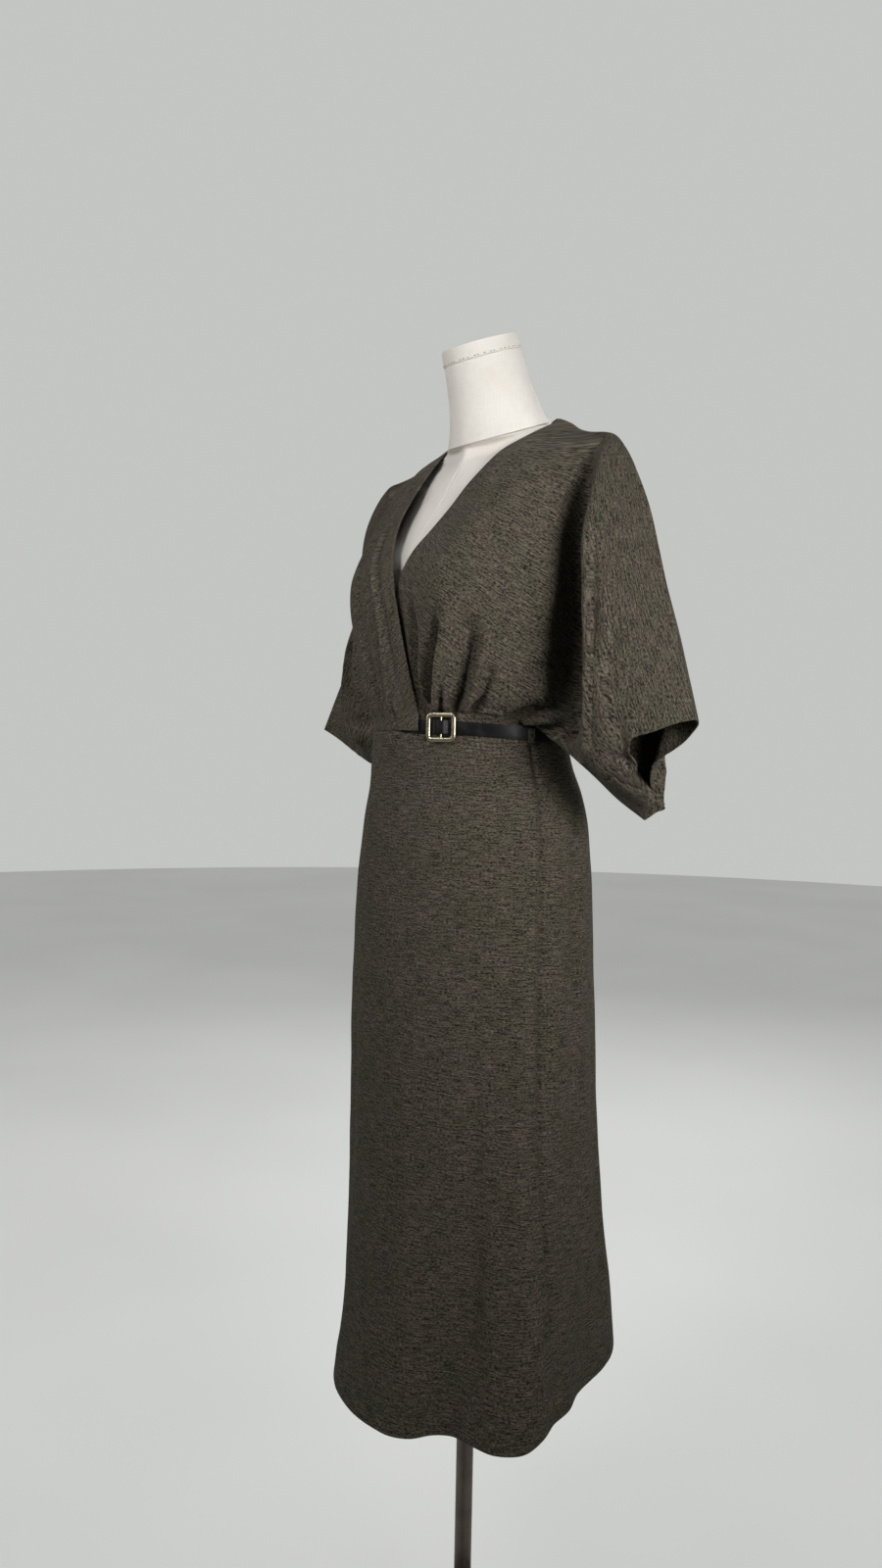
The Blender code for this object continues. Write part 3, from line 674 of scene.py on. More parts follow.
# The right sleeve hangs flatter, with its cuff's low corner drawn in towards the body
RIGHT_SLEEVE_FRONT = (
    ("valley", (172, -40, 1), (176, -30, 20), (186, -14, 90), (186, -7, 170), (188, -8, 252),
     (196, -7, 322), (210, 3, 358)),
    ("fold", (196, -26, -12), (226, -38, -8), (256, -38, 80), (232, -26, 183), (212, -16, 268),
     (212, -8, 328), (221, 1, 350)),
    ("upper", (212, -14, -24), (236, -22, -16), (266, -28, 42), (250, -18, 131), (243, -10, 206),
     (248, -8, 266), (263, 0, 301)),
    ("face", (228, 0, -36), (242, -10, -26), (276, -12, 6), (277, -2, 77), (284, 8, 125),
     (296, 18, 158), (306, 24, 172)),
    ("cuff", (246, 16, -47), (252, 5, -39), (268, -2, -29), (290, -4, -18), (315, -6, -6),
     (340, -6, 3), (355, -6, 8)),
)
RIGHT_SLEEVE_BACK = (
    LEFT_SLEEVE_BACK[0],
    ("fold", (196, -26, -12), (222, 20, -2), (247, 44, 76), (237, 44, 178), (225, 34, 262),
     (220, 18, 322), (221, 1, 350)),
    ("upper", (212, -14, -24), (230, 30, -14), (258, 46, 42), (257, 42, 128), (250, 34, 205),
     (252, 18, 266), (263, 0, 301)),
    ("face", (228, 0, -36), (240, 34, -27), (268, 44, 8), (279, 44, 76), (289, 38, 122),
     (299, 31, 156), (306, 24, 172)),
    ("cuff", (246, 16, -47), (258, 28, -40), (276, 31, -30), (297, 27, -19), (320, 20, -8),
     (342, 8, 3), (355, -6, 8)),
)
COLUMN_SPANS = (3, 3, 3, 2, 3, 3, 2, 3, 3)
BODY_SPANS = COLUMN_SPANS[:4]
SPINE_SPANS = (2, 2)
ROW_SPANS = (1, 2, 2, 3, 3, 2, 2)
SIDE_COLUMN = sum(BODY_SPANS)
VALLEY_COLUMN = SIDE_COLUMN + COLUMN_SPANS[4]
# The rows of the strip under the belt, and their heights above the waist seam
BELT_ROWS = ((0, SEAM / 2), (1, OVER_BELT))


def stations(lines, side, lap=0.0):
    """Points of the lines in metres for the left (side 1) or the right (side -1)."""
    found = []
    for name, foot, *points in lines:
        if isinstance(foot, tuple):
            under_belt = (foot[0], foot[1], foot[2] - OVER_BELT / MM)
            line = np.array((under_belt, foot, *points)) * MM + (0, 0, WAIST)
        else:
            over = lap if name in ("edge", "beside") else 0.0
            low = [waist_point(foot, over), waist_point(foot, over, OVER_BELT)]
            line = np.concatenate((low, np.array(points) * MM + (0, 0, WAIST)))
        found.append(line * (side, 1, 1))
    return np.array(found)


def surface(lines, column_spans):
    by_row = curve_through(lines.swapaxes(0, 1), ROW_SPANS)
    return curve_through(by_row.swapaxes(0, 1), column_spans)


def front_grid(side):
    """The front's cloth, from the wrap's edge out to the cuff; the right one laps over the left."""
    if side > 0:
        lap, lines = 0.0, FRONT_LINES + LEFT_SLEEVE_FRONT
    else:
        lap, lines = LAP, RIGHT_EDGE_LINES + FRONT_LINES[2:] + RIGHT_SLEEVE_FRONT
    grid = surface(stations(lines, side, lap), COLUMN_SPANS)
    at = np.cumsum((0, *BODY_SPANS))
    columns = np.arange(SIDE_COLUMN + 1)
    angles = np.interp(columns, at, [line[1] for line in lines[: len(at)]])
    outs = np.interp(columns, at, (lap, lap, 0, 0, 0))
    for row, above in BELT_ROWS:
        grid[: SIDE_COLUMN + 1, row] = waist_point(angles, outs, above) * (side, 1, 1)
    return grid


def back_grid(fronts):
    """The back's cloth from cuff to cuff, which meets the fronts at its seams."""
    left = stations(BACK_LINES + LEFT_SLEEVE_BACK, 1)
    right = stations(BACK_LINES + RIGHT_SLEEVE_BACK, -1)
    lines = np.concatenate((right[::-1], stations((SPINE_LINE,), 1), left))
    grid = surface(lines, (*COLUMN_SPANS[::-1], *SPINE_SPANS, *COLUMN_SPANS))
    count = len(fronts[1])
    middle = len(grid) // 2
    reach = middle - (count - 1) + SIDE_COLUMN
    at = np.cumsum((0, SPINE_SPANS[1], *BODY_SPANS))
    angles = np.interp(np.arange(reach + 1), at, [line[1] for line in (SPINE_LINE, *BACK_LINES)])
    for row, above in BELT_ROWS:
        points = waist_point(angles, 0.0, above)
        grid[middle : middle + reach + 1, row] = points
        grid[middle - reach : middle + 1, row] = (points * (-1, 1, 1))[::-1]
    for side, half in back_halves(grid, count):
        half[:, -1] = fronts[side][:, -1]
        half[SIDE_COLUMN:, 1] = fronts[side][SIDE_COLUMN:, 1]
    return grid


def back_halves(grid, count):
    """Views of the back's two sides, from the shoulder's neck end out to the cuff."""
    return ((1, grid[-count:]), (-1, grid[:count][::-1]))


# ---------------------------------------------------------------- the creases

# Each crease is a path over the cloth: places counted in the tables' columns and rows, the
# half width in millimetres and how far it stands out there, or sinks in where negative
CREASES = {}
CREASES["bodice_front_left"] = (
    # gathers over the belt, from the wrap's edge round to the side
    ((3.8, 1.3, 6, -5), (3.6, 2.6, 8, -10), (3.3, 3.8, 9, -12), (2.7, 5.4, 9, -10), (2.0, 7.2, 8, 0)),
    ((4.0, 2.0, 4, 0), (4.0, 3.0, 5, 4), (3.95, 4.2, 6, 5), (3.6, 5.6, 6, 0)),
    ((4.2, 1.5, 6, -4), (4.4, 3.0, 9, -14), (4.9, 4.6, 10, -13), (5.3, 6.0, 11, -4), (5.6, 7.0, 10, 0)),
    ((5.0, 1.8, 5, 0), (5.3, 3.0, 8, 7), (5.7, 4.4, 10, 7), (6.2, 6.0, 11, 3), (6.5, 7.2, 10, 0)),
    ((5.2, 1.6, 4, -5), (5.4, 2.6, 5, -9), (5.7, 3.8, 6, 0)),
    ((6.2, 1.4, 6, -7), (6.8, 2.9, 10, -18), (7.4, 4.1, 12, -20), (7.7, 5.2, 12, -12), (8.0, 6.4, 11, 0)),
    ((6.9, 1.8, 4, 0), (7.6, 2.8, 6, 6), (8.4, 4.2, 9, 7), (8.9, 5.8, 11, 3), (9.0, 7.0, 10, 0)),
    ((6.9, 1.4, 4, -4), (7.9, 2.5, 7, -11), (8.7, 3.5, 8, -8), (9.3, 4.4, 8, 0)),
    ((7.5, 1.3, 3, -2), (8.2, 1.7, 3, -3), (8.8, 1.6, 3, -2), (9.5, 1.3, 3, -1)),
    ((3.6, 1.4, 8, -2.5), (5.0, 1.35, 8, -3), (6.2, 1.4, 8, -4), (6.9, 1.4, 6, -3)),
    ((7.9, 1.5, 3, 0), (8.6, 2.1, 4, 3), (9.4, 1.9, 4, 3), (9.9, 1.5, 3, 0)),
    # the cloth that drapes from the side into the hollow under the arm
    ((9.5, 1.3, 5, -6), (10.2, 2.0, 7, -15), (11.1, 2.9, 9, -18),
     (12.2, 3.4, 9, -13), (13.4, 3.5, 8, -2)),
    ((9.9, 1.2, 3, -2), (11.0, 1.6, 4, -4), (12.2, 2.2, 5, -5), (13.2, 2.8, 5, -1)),
    ((10.3, 1.3, 4, 2), (11.3, 2.1, 5, 8), (12.4, 2.7, 6, 7), (13.2, 3.0, 5, 0)),
    ((10.2, 3.6, 9, 2), (11.3, 4.9, 11, 5), (12.2, 5.3, 11, 4), (12.9, 5.2, 10, 0)),
    ((11.0, 6.2, 13, 1), (12.0, 7.4, 14, 3), (12.2, 9.0, 14, 2), (11.6, 10.8, 14, 0)),
    # the sleeve, whose front edge folds over a deep pocket
    ((15.0, 1.8, 8, -2), (14.5, 3.4, 20, -13), (14.2, 6.2, 31, -26),
     (14.7, 9.4, 28, -23), (15.6, 12.6, 15, -9)),
    ((16.9, 1.6, 5, 3), (16.9, 4.0, 5, 6), (17.1, 7.0, 5, 6), (17.5, 9.6, 6, 4), (17.7, 12.6, 6, 0)),
    ((18.5, 1.2, 3, -1.6), (21.0, 3.2, 3, -2.2), (23.5, 3.5, 3, -2.2), (24.9, 3.9, 3, -1.6)),
    ((21.7, 4.1, 7, -3), (23.4, 4.7, 7, -6), (24.8, 5.5, 6, -4)),
    ((18.9, 4.4, 10, 0), (18.7, 7.0, 11, -4), (18.9, 10.0, 11, 0)),
    ((20.6, 4.0, 9, 0), (20.7, 6.6, 10, 3), (20.4, 9.6, 10, 0)),
    ((22.3, 6.4, 9, 0), (21.9, 8.8, 10, -3), (21.4, 11.2, 10, 0)),
)
CREASES["bodice_front_right"] = (
    # the turned-back edge shows as a soft ridge beside it
    ((3.9, 13.0, 4, 0), (3.4, 10.9, 4, 3), (2.6, 8.9, 4, 4),
     (2.2, 7.3, 4, 4), (2.3, 4.8, 4, 4), (2.7, 2.2, 4, 0)),
    ((2.8, 11.4, 5, 0), (2.0, 9.0, 5, -3), (1.5, 7.0, 6, -3.5), (1.4, 4.6, 6, -3), (1.3, 2.6, 5, 0)),
    ((5.2, 12.2, 9, 0), (4.9, 9.6, 10, -4), (4.6, 7.2, 10, -4), (4.3, 5.0, 9, 0)),
    ((2.3, 2.9, 3, 0), (2.2, 2.1, 3, -4), (2.1, 1.3, 3, -5), (1.9, 0.5, 3, -3)),
    ((3.3, 0.6, 4, -2), (3.4, 1.8, 5, -5), (3.6, 3.4, 7, -5), (4.3, 5.6, 8, 0)),
    ((4.6, 0.8, 5, 0), (4.6, 2.2, 6, 3), (4.7, 3.9, 7, 3), (5.3, 5.9, 8, 0)),
    ((5.4, 0.7, 4, -3), (5.7, 2.1, 6, -8), (6.2, 3.8, 8, -8), (7.0, 6.2, 9, 0)),
    ((6.7, 0.9, 5, 1), (6.9, 2.4, 6, 4), (7.4, 4.4, 8, 4), (8.1, 6.3, 9, 0)),
    ((7.3, 0.8, 4, -3), (7.9, 2.0, 5, -8), (8.4, 3.6, 7, -5), (8.9, 5.2, 8, 0)),
    ((9.4, 1.3, 5, -4), (10.2, 2.6, 8, -10), (11.3, 3.5, 9, -8), (12.6, 4.1, 8, 0)),
    ((10.4, 4.4, 12, 2), (11.3, 6.6, 14, 4), (11.2, 9.2, 14, 0)),
    # the sleeve
    ((16.4, 13.0, 12, 0), (18.0, 11.0, 14, -4), (19.6, 9.0, 14, -5), (21.2, 7.2, 13, 0)),
    ((16.9, 3.0, 6, 0), (17.0, 5.6, 6, 4), (17.0, 8.4, 6, 3), (17.0, 11.0, 6, 0)),
    ((18.4, 3.4, 9, 0), (18.9, 5.2, 10, -4), (18.6, 7.4, 10, 0)),
    ((21.6, 3.0, 8, -1), (22.6, 4.6, 8, -4), (24.4, 5.4, 7, -3)),
)
CREASES["bodice_back"] = (
    # gathers along the back of the waist
    ((16.4, 1.4, 6, -3), (16.2, 3.2, 9, -7), (15.6, 5.0, 9, 0)),
    ((18.2, 1.3, 5, -4), (18.0, 2.8, 8, -9), (17.4, 4.6, 9, -4), (17.2, 6.4, 10, 0)),
    ((19.7, 1.5, 5, 2), (19.6, 3.6, 8, 3.5), (19.1, 5.6, 9, 0)),
    ((20.9, 1.3, 5, -4), (21.0, 3.0, 7, -8), (20.6, 5.2, 9, 0)),
    ((23.1, 1.3, 5, -3), (23.3, 2.6, 7, -6), (23.2, 4.2, 8, -3), (22.9, 6.0, 9, 0)),
    ((24.9, 1.5, 5, 1.5), (25.0, 3.3, 7, 3), (24.9, 4.9, 8, 0)),
    ((26.2, 1.3, 5, -4), (26.3, 3.4, 8, -8), (26.0, 5.8, 10, -3), (25.8, 7.6, 10, 0)),
    ((28.3, 1.3, 4, -3), (28.5, 2.6, 6, -5), (28.6, 3.9, 7, 0)),
    ((30.2, 1.3, 5, -4), (30.0, 2.9, 8, -8), (30.5, 4.7, 9, -4), (30.9, 6.6, 10, 0)),
    ((31.6, 1.5, 5, 2), (31.7, 3.9, 8, 3.5), (32.1, 6.0, 9, 0)),
    ((33.0, 1.3, 5, -3), (33.2, 2.9, 7, -7), (33.7, 4.5, 9, 0)),
    ((35.1, 1.3, 5, -4), (35.4, 3.0, 8, -9), (36.1, 4.8, 9, -3), (36.5, 6.4, 10, 0)),
    ((37.5, 1.4, 5, -3), (38.1, 2.8, 8, -6), (38.7, 4.4, 9, 0)),
    ((39.2, 2.2, 6, 2), (40.0, 4.2, 9, 4), (40.4, 6.4, 10, 0)),
    # folds that fall from the shoulder blades to the underarms
    ((13.6, 3.0, 9, -5), (12.6, 4.6, 12, -8), (11.4, 6.6, 13, -4), (10.8, 9.0, 13, 0)),
    ((40.6, 3.0, 9, -5), (41.6, 4.8, 12, -8), (42.8, 6.8, 13, -4), (43.3, 9.2, 13, 0)),
    ((15.0, 6.0, 12, 0), (13.4, 8.0, 14, 4), (12.6, 10.4, 14, 0)),
    ((39.0, 5.8, 12, 0), (40.7, 8.1, 14, 4), (41.5, 10.6, 14, 0)),
    ((5.6, 3.6, 9, -2), (5.4, 6.4, 11, -4), (6.4, 9.6, 11, 0)),
    ((48.5, 3.4, 9, -2), (48.3, 6.2, 11, -4), (47.6, 9.8, 11, 0)),
    ((1.0, 4.8, 7, -2), (2.6, 4.2, 8, -3), (4.0, 4.4, 8, 0)),
    ((53.2, 5.0, 7, -3), (51.6, 4.4, 8, -4), (50.2, 4.6, 8, 0)),
)
CREASES["skirt_front"] = (
    ((1.3, 4.6, 11, 0), (1.4, 7.5, 15, 4), (1.4, 10.5, 16, 5), (1.5, 12.0, 15, 2), (1.6, 12.6, 13, 0)),
    ((0.9, 12.6, 5, -2), (1.2, 12.3, 6, -5), (1.7, 11.9, 7, -4), (2.2, 11.6, 7, 0)),
    ((3.6, 5.6, 14, 0), (3.9, 8.6, 20, -4), (4.2, 12.0, 22, -4)),
    ((7.4, 0.8, 5, -0.8), (7.2, 2.6, 7, -1.2), (7.0, 4.4, 9, 0)),
    ((11.2, 0.9, 5, -0.8), (11.5, 2.2, 7, -1.2), (11.7, 4.0, 9, 0)),
    ((8.6, 7.0, 14, 0), (8.2, 9.6, 18, 2), (8.0, 12.2, 20, 2)),
    ((13.6, 6.4, 14, 0), (14.0, 9.4, 18, -3), (14.3, 12.4, 20, -2)),
    ((16.2, 5.0, 12, 0), (16.6, 8.4, 15, 2.5), (16.9, 11.8, 16, 2)),
    ((18.4, 7.2, 10, 0), (18.7, 9.8, 12, -2), (18.8, 12.4, 13, -1)),
)
CREASES["skirt_back"] = (
    ((19.3, 3.4, 8, 0), (19.2, 5.6, 11, 3), (19.2, 8.2, 11, 3), (19.3, 10.4, 10, 0)),
    ((17.8, 3.8, 9, 0), (17.9, 6.4, 12, -4), (18.1, 9.0, 12, -3), (18.3, 11.4, 11, 0)),
    ((18.9, 9.6, 7, 0), (18.8, 11.2, 8, -2), (18.7, 12.5, 9, -2)),
    ((16.6, 7.2, 12, 0), (16.8, 9.8, 15, 3), (16.9, 12.4, 15, 3)),
    ((15.4, 5.2, 12, 0), (15.2, 8.4, 15, 2), (15.4, 12.0, 16, 3)),
    ((12.6, 6.2, 13, 0), (12.9, 9.2, 16, -3), (12.7, 12.3, 18, -3)),
    ((9.9, 5.6, 12, 0), (9.6, 9.0, 16, 2.5), (9.9, 12.2, 18, 3)),
    ((6.8, 6.6, 12, 0), (7.1, 9.4, 16, -3), (6.9, 12.4, 17, -2)),
    ((3.9, 5.4, 11, 0), (4.2, 8.8, 14, 2), (4.0, 12.1, 15, 2.5)),
    ((1.5, 6.8, 9, 0), (1.6, 9.6, 11, -2), (1.7, 12.2, 12, -1.5)),
    ((9.2, 0.9, 5, -1), (9.0, 2.4, 7, -2), (9.1, 4.2, 9, 0)),
    ((11.4, 0.9, 5, -1), (11.7, 2.0, 7, -1.8), (11.6, 3.6, 9, 0)),
)
CREASE_STEPS = 15
# A crease's section: how steep and how full it is, and the low lip of cloth beside it, whose
# place and width are counted in half widths
CREASE_STEEPNESS = 1.5
CREASE_FULLNESS = 1.6
LIP_HEIGHT = 0.2
LIP_PLACE = 1.45
LIP_WIDTH = 0.4
# Worn cloth is uneven by two crossed waves a row: the height, then each wave's lengths along
# x, y and z and its start
WAVES = (
    (0.55, (23, 31, 67, 0), (-57, math.inf, 41, 1.3)),
    (0.25, (13, -17, 29, 0.7), (math.inf, 11, 19, 0)),
)


def spot(coarse, column, row):
    """The point of the cloth at a place counted in the tables' columns and rows."""
    line = curve_at(coarse.swapaxes(0, 1), [row])[0]
    return curve_at(line, [column])[0]


def crease_section(reach):
    """How far a crease of height 1 stands out at `reach` half widths from its path."""
    lip = np.exp(-(((reach - LIP_PLACE) / LIP_WIDTH) ** 2))
    return np.exp(-((CREASE_STEEPNESS * reach) ** CREASE_FULLNESS)) - LIP_HEIGHT * lip


def creased(name, grid, coarse):
    """How far each point of the cloth stands out for its creases."""
    points = grid.reshape(-1, 3)
    out = np.zeros(len(points))
    for path in CREASES[name]:
        knots = curve_at(path, np.linspace(0, len(path) - 1, CREASE_STEPS + 1))
        line = np.array([spot(coarse, column, row) for column, row, *_ in knots])
        nearest = np.full(len(points), np.inf)
        size = np.zeros((len(points), 2))
        for i in range(CREASE_STEPS):
            run = line[i + 1] - line[i]
            share = np.clip((points - line[i]) @ run / (run @ run), 0, 1)[:, None]
            away = np.linalg.norm(points - line[i] - share * run, axis=1)
            closer = away < nearest
            nearest[closer] = away[closer]
            size[closer] = ((1 - share) * knots[i, 2:] + share * knots[i + 1, 2:])[closer] * MM
        out += size[:, 1] * crease_section(nearest / np.maximum(size[:, 0], MM))
    return out.reshape(grid.shape[:2])


def uneven(grid):
    """The slight unevenness of worn cloth, a fraction of a millimetre either way."""
    out = np.zeros(grid.shape[:2])
    for height, *crossed in WAVES:
        wave = [np.sin((grid / MM / pitch).sum(axis=-1) + start) for *pitch, start in crossed]
        out += height * wave[0] * wave[1]
    return out * MM


# ---------------------------------------------------------------- the skirt's pieces

SKIRT_PUFF = 1.1 * MM
SKIRT_SEAM = 0.08 * MM
# The strip below the waist seam that stays plain, and how far from the seams the skirt has
# swollen and its creases are full
PLAIN_BELOW_WAIST = 3 * MM
SEAM_ROUND = 6 * MM
CREASE_FROM_SIDE = 8 * MM
CREASE_FROM_WAIST = 10 * MM
# The side seams sink in from the waist down. They are level again this far above the hem, and
# begin to come out at twice as far.
SEAM_SINK = 3.0 * MM
SINK_FROM_WAIST = 8 * MM
SINK_ABOVE_HEM = 80 * MM
# Angles between which the wrap is sewn on, how gently that sets in, and its reach downwards
UNDER_WRAP = 4.6 * MM
WRAP_FROM = -86
WRAP_FROM_EASE = 8
WRAP_TO = -138
WRAP_TO_EASE = 30
UNDER_WRAP_REACH = 34 * MM
SKIRT_PLACES = places((1, 1.2, 6), (1.2, 20.8, 120), (20.8, 21, 6))
SKIRT_HEIGHTS = places((0, 0.3, 6), (0.3, 12.85, 130), (12.85, 13, 6))


def under_wrap(grid):
    """How far the skirt's top stands off to meet the wrap that is sewn to it."""
    angle = np.degrees(np.arctan2(grid[..., 1] - WAIST_CENTRE_Y, grid[..., 0]))
    return UNDER_WRAP * rise(WRAP_FROM - angle, WRAP_FROM_EASE) * rise(angle - WRAP_TO, WRAP_TO_EASE)


def skirt_out(name, grid, coarse):
    """How far each point of a skirt cloth stands out from its plain shape."""
    down, across = lengths(grid, 1), lengths(grid, 0)
    from_side = np.minimum(across, across[-1:] - across)
    above_hem = down[:, -1:] - down
    low = down - PLAIN_BELOW_WAIST
    edges = rise(from_side, SEAM_ROUND) * rise(down, SEAM_ROUND) * rise(above_hem, EDGE_ROUND)
    held = rise(from_side, CREASE_FROM_SIDE) * rise(low, CREASE_FROM_WAIST)
    sunk = (1 - rise(from_side, SEAM_ROUND)) * rise(low, SINK_FROM_WAIST)
    out = SKIRT_PUFF * edges + (creased(name, grid, coarse[1:-1]) + uneven(grid)) * held
    out -= SEAM_SINK * sunk * rise(above_hem - SINK_ABOVE_HEM, SINK_ABOVE_HEM)
    return out + under_wrap(grid) * (1 - rise(down, UNDER_WRAP_REACH))


def make_skirt(finishing):
    ring = skirt_ring()
    around = np.arange(-1, SKIRT_COLUMNS + 2)
    for name, first in (("skirt_front", 0), ("skirt_back", SKIRT_COLUMNS)):
        coarse = ring[(around + first) % len(ring)]
        plain = finer(coarse, SKIRT_PLACES, SKIRT_HEIGHTS)
        grid = plain + normals_of(plain) * skirt_out(name, plain, coarse)[..., None]
        inside = grid - normals_of(grid) * CLOTH
        for cloth in (grid, inside):
            cloth[0] += unit(grid[1] - grid[0]) * SKIRT_SEAM / 2
            cloth[-1] -= unit(grid[-1] - grid[-2]) * SKIRT_SEAM / 2
        piece = wall(grid, inside, [(0, plain_map(plain) * (1, -1))], (*finishing, name))


# ---------------------------------------------------------------- the bodice's pieces

CUFF_COLUMN = sum(COLUMN_SPANS)
SPINE_COLUMNS = sum(SPINE_SPANS)
TOP_ROW = sum(ROW_SPANS)
FRONT_PLACES = places(
    (0, 0.3, 6),
    (0.3, SIDE_COLUMN, 66),
    (SIDE_COLUMN, CUFF_COLUMN - 0.25, 84),
    (CUFF_COLUMN - 0.25, CUFF_COLUMN, 6),
)
RIGHT_PLACES = CUFF_COLUMN - FRONT_PLACES[::-1]
SPINE_PLACES = CUFF_COLUMN + places((0, SPINE_COLUMNS, 20))[1:-1]
LEFT_PLACES = CUFF_COLUMN + SPINE_COLUMNS + FRONT_PLACES
BACK_PLACES = np.concatenate((RIGHT_PLACES, SPINE_PLACES, LEFT_PLACES))
ROW_PLACES = places((0, 1, 4), (1, 1.25, 6), (1.25, TOP_ROW - 0.25, 96), (TOP_ROW - 0.25, TOP_ROW, 6))
SIDE = int(np.searchsorted(FRONT_PLACES, SIDE_COLUMN))
BELT_ROW = int(np.searchsorted(ROW_PLACES, 1))
VALLEY = int(np.searchsorted(FRONT_PLACES, VALLEY_COLUMN))
LEFT_HALF = len(BACK_PLACES) - len(FRONT_PLACES)
FRONTS = ((1, "bodice_front_left"), (-1, "bodice_front_right"))
# Columns of the right front from the side seam to where it hangs free of the belt
FREE_COLUMNS = 2
# How far in from an end the cloth has swollen, and how far from the belt, or from another edge,
# its creases are full
END_ROUND = 2.5 * MM
BELT_EASE = 2.5 * MM
CREASE_EASE = 9 * MM
# A column that starts within this distance of the axis lies over the belt
WORN_WITHIN = 0.170
# Heights between which the cloth is kept clear of the form, and how gently that sets in
CLEAR_FROM = 9
CLEAR_FROM_EASE = 6
CLEAR_TO = 240
CLEAR_TO_EASE = 10
# The weft's maps
BODY_RADIUS = 0.15
BODY_SLANT = math.radians(33)
SLEEVE_SLANT = 0.2
SLEEVE_RADIUS = 0.08
SLEEVE_AXIS_X = 0.286
SLEEVE_AXIS_SLOPE = 0.17
SLEEVE_PIVOT_FRONT = 28 * MM
SLEEVE_PIVOT_BACK = -45 * MM
# How far from a seam two cloths share their normals
MITRE = 8 * MM


def cloth_normals(grid, flip):
    """Outward normals; the strip under the belt stands upright, but not where the cloth hangs free."""
    normal = np.empty_like(grid)
    normal[:, BELT_ROW:] = normals_of(grid[:, BELT_ROW:]) * flip
    from_centre = grid[:, 0] - (0, WAIST_CENTRE_Y, 0)
    upright = unit(from_centre * (WAIST_HALF_WIDTH**-2, WAIST_HALF_DEPTH**-2, 0))
    normal[:, :BELT_ROW] = upright[:, None]
    free = free_of_belt(grid)[:, None]
    normal = unit(normal * (1 - free) + normals_of(grid) * flip * free)
    return normal, upright


def free_of_belt(grid):
    """1 where a column of the right front hangs over the belt's end, and 0 where the belt holds it."""
    if len(grid) == len(FRONT_PLACES) and grid[-1, 0, 0] < 0:
        return rise(SIDE_COLUMN - FRONT_PLACES, FREE_COLUMNS)[:, None]
    return np.zeros((len(grid), 1))


def bodice_out(name, grid, coarse):
    """How far each point of a bodice cloth stands out from its plain shape."""
    up, across = lengths(grid, 1), lengths(grid, 0)
    over_belt = up - up[:, BELT_ROW : BELT_ROW + 1] * (1 - free_of_belt(grid))
    top = up[:, -1:] - up
    ends = np.minimum(across, across[-1:] - across)
    puff = rise(over_belt, EDGE_ROUND) * rise(top, EDGE_ROUND) * rise(ends, END_ROUND)
    worn = np.linalg.norm(grid[:, :1, :2], axis=-1) < WORN_WITHIN
    held = rise(over_belt, np.where(worn, BELT_EASE, CREASE_EASE)) * rise(top, CREASE_EASE)
    return PUFF * puff + (creased(name, grid, coarse) + uneven(grid)) * held


def clear_of_form(grid):
    """The cloth, moved out where a crease would sink into the body of the form."""
    x, y, height = np.moveaxis((grid - (0, 0, WAIST)) / MM, -1, 0)
    levels, *rows = np.array(FORM_SECTIONS).T
    half_width, front, back, squareness, _ = (np.interp(height, levels, row) for row in rows)
    middle = (front + back) / 2
    flat_x = np.abs(x) / (half_width + OFF_FORM)
    flat_y = np.abs(y - middle) / ((back - front) / 2 + OFF_FORM)
    within = (flat_x**squareness + flat_y**squareness) ** (1 / squareness)
    body = rise(height - CLEAR_FROM, CLEAR_FROM_EASE) * (1 - rise(height - CLEAR_TO, CLEAR_TO_EASE))
    grow = 1 + body * (1 / np.clip(within, 0.5, 1) - 1)
    return np.stack((x * grow, middle + (y - middle) * grow, height), axis=-1) * MM + (0, 0, WAIST)


def rotated(across, up, angle):
    """A map turned by the angle, so that the weft slants down as it goes out."""
    c, s = math.cos(angle), math.sin(angle)
    return np.stack((across * c - up * s, across * s + up * c), axis=-1)


def weft_maps(grid, front):
    """The weft's map round the body, slanting on the fronts, and its map down a sleeve."""
    facing = -1 if front else 1
    x, y, z = np.moveaxis(grid, -1, 0)
    around = np.arctan2(x * np.sign(grid[-1, 0, 0]), facing * (y - WAIST_CENTRE_Y)) * BODY_RADIUS
    body = rotated(around, z, BODY_SLANT if front else 0.0)
    down = WAIST - z
    axis_x = SLEEVE_AXIS_X + SLEEVE_AXIS_SLOPE * down
    turn = np.arctan2(y - (SLEEVE_PIVOT_FRONT if front else SLEEVE_PIVOT_BACK), np.abs(x) - axis_x)
    sleeve = np.stack((down, turn * SLEEVE_RADIUS + facing * SLEEVE_SLANT * down), axis=-1)
    return body, sleeve


def join(front, back, normals, rows, start):
    """Mitres the two cloths at a seam row and says which way their gap opens."""
    row, beside = rows
    toward_front = unit(front[start:, beside] - front[start:, row])
    toward_back = unit(back[start:, beside] - back[start:, row])
    shared = unit(normals[0][start:, row] + normals[1][start:, row])
    for grid, normal in ((front, normals[0]), (back, normals[1])):
        along = lengths(grid[start:], 1)
        away = np.abs(along - along[:, row : row + 1] if row >= 0 else along[:, -1:] - along)
        own = rise(away, MITRE)[..., None]
        own = own if row < 0 else np.where(np.arange(grid.shape[1])[:, None] < row, 1, own)
        normal[start:] = unit(shared[:, None] * (1 - own) + normal[start:] * own)
    return unit(toward_front - toward_back)


def shaped(name, flip, coarse, columns):
    """The outer face of a bodice cloth with its creases, clear of the form."""
    grid = finer(coarse, columns, ROW_PLACES, turn=1)
    free = free_of_belt(grid)[..., None]
    grid = grid * (1 - free) + finer(coarse, columns, ROW_PLACES) * free
    normal, _ = cloth_normals(grid, flip)
    return clear_of_form(grid + normal * bodice_out(name, grid, coarse)[..., None])


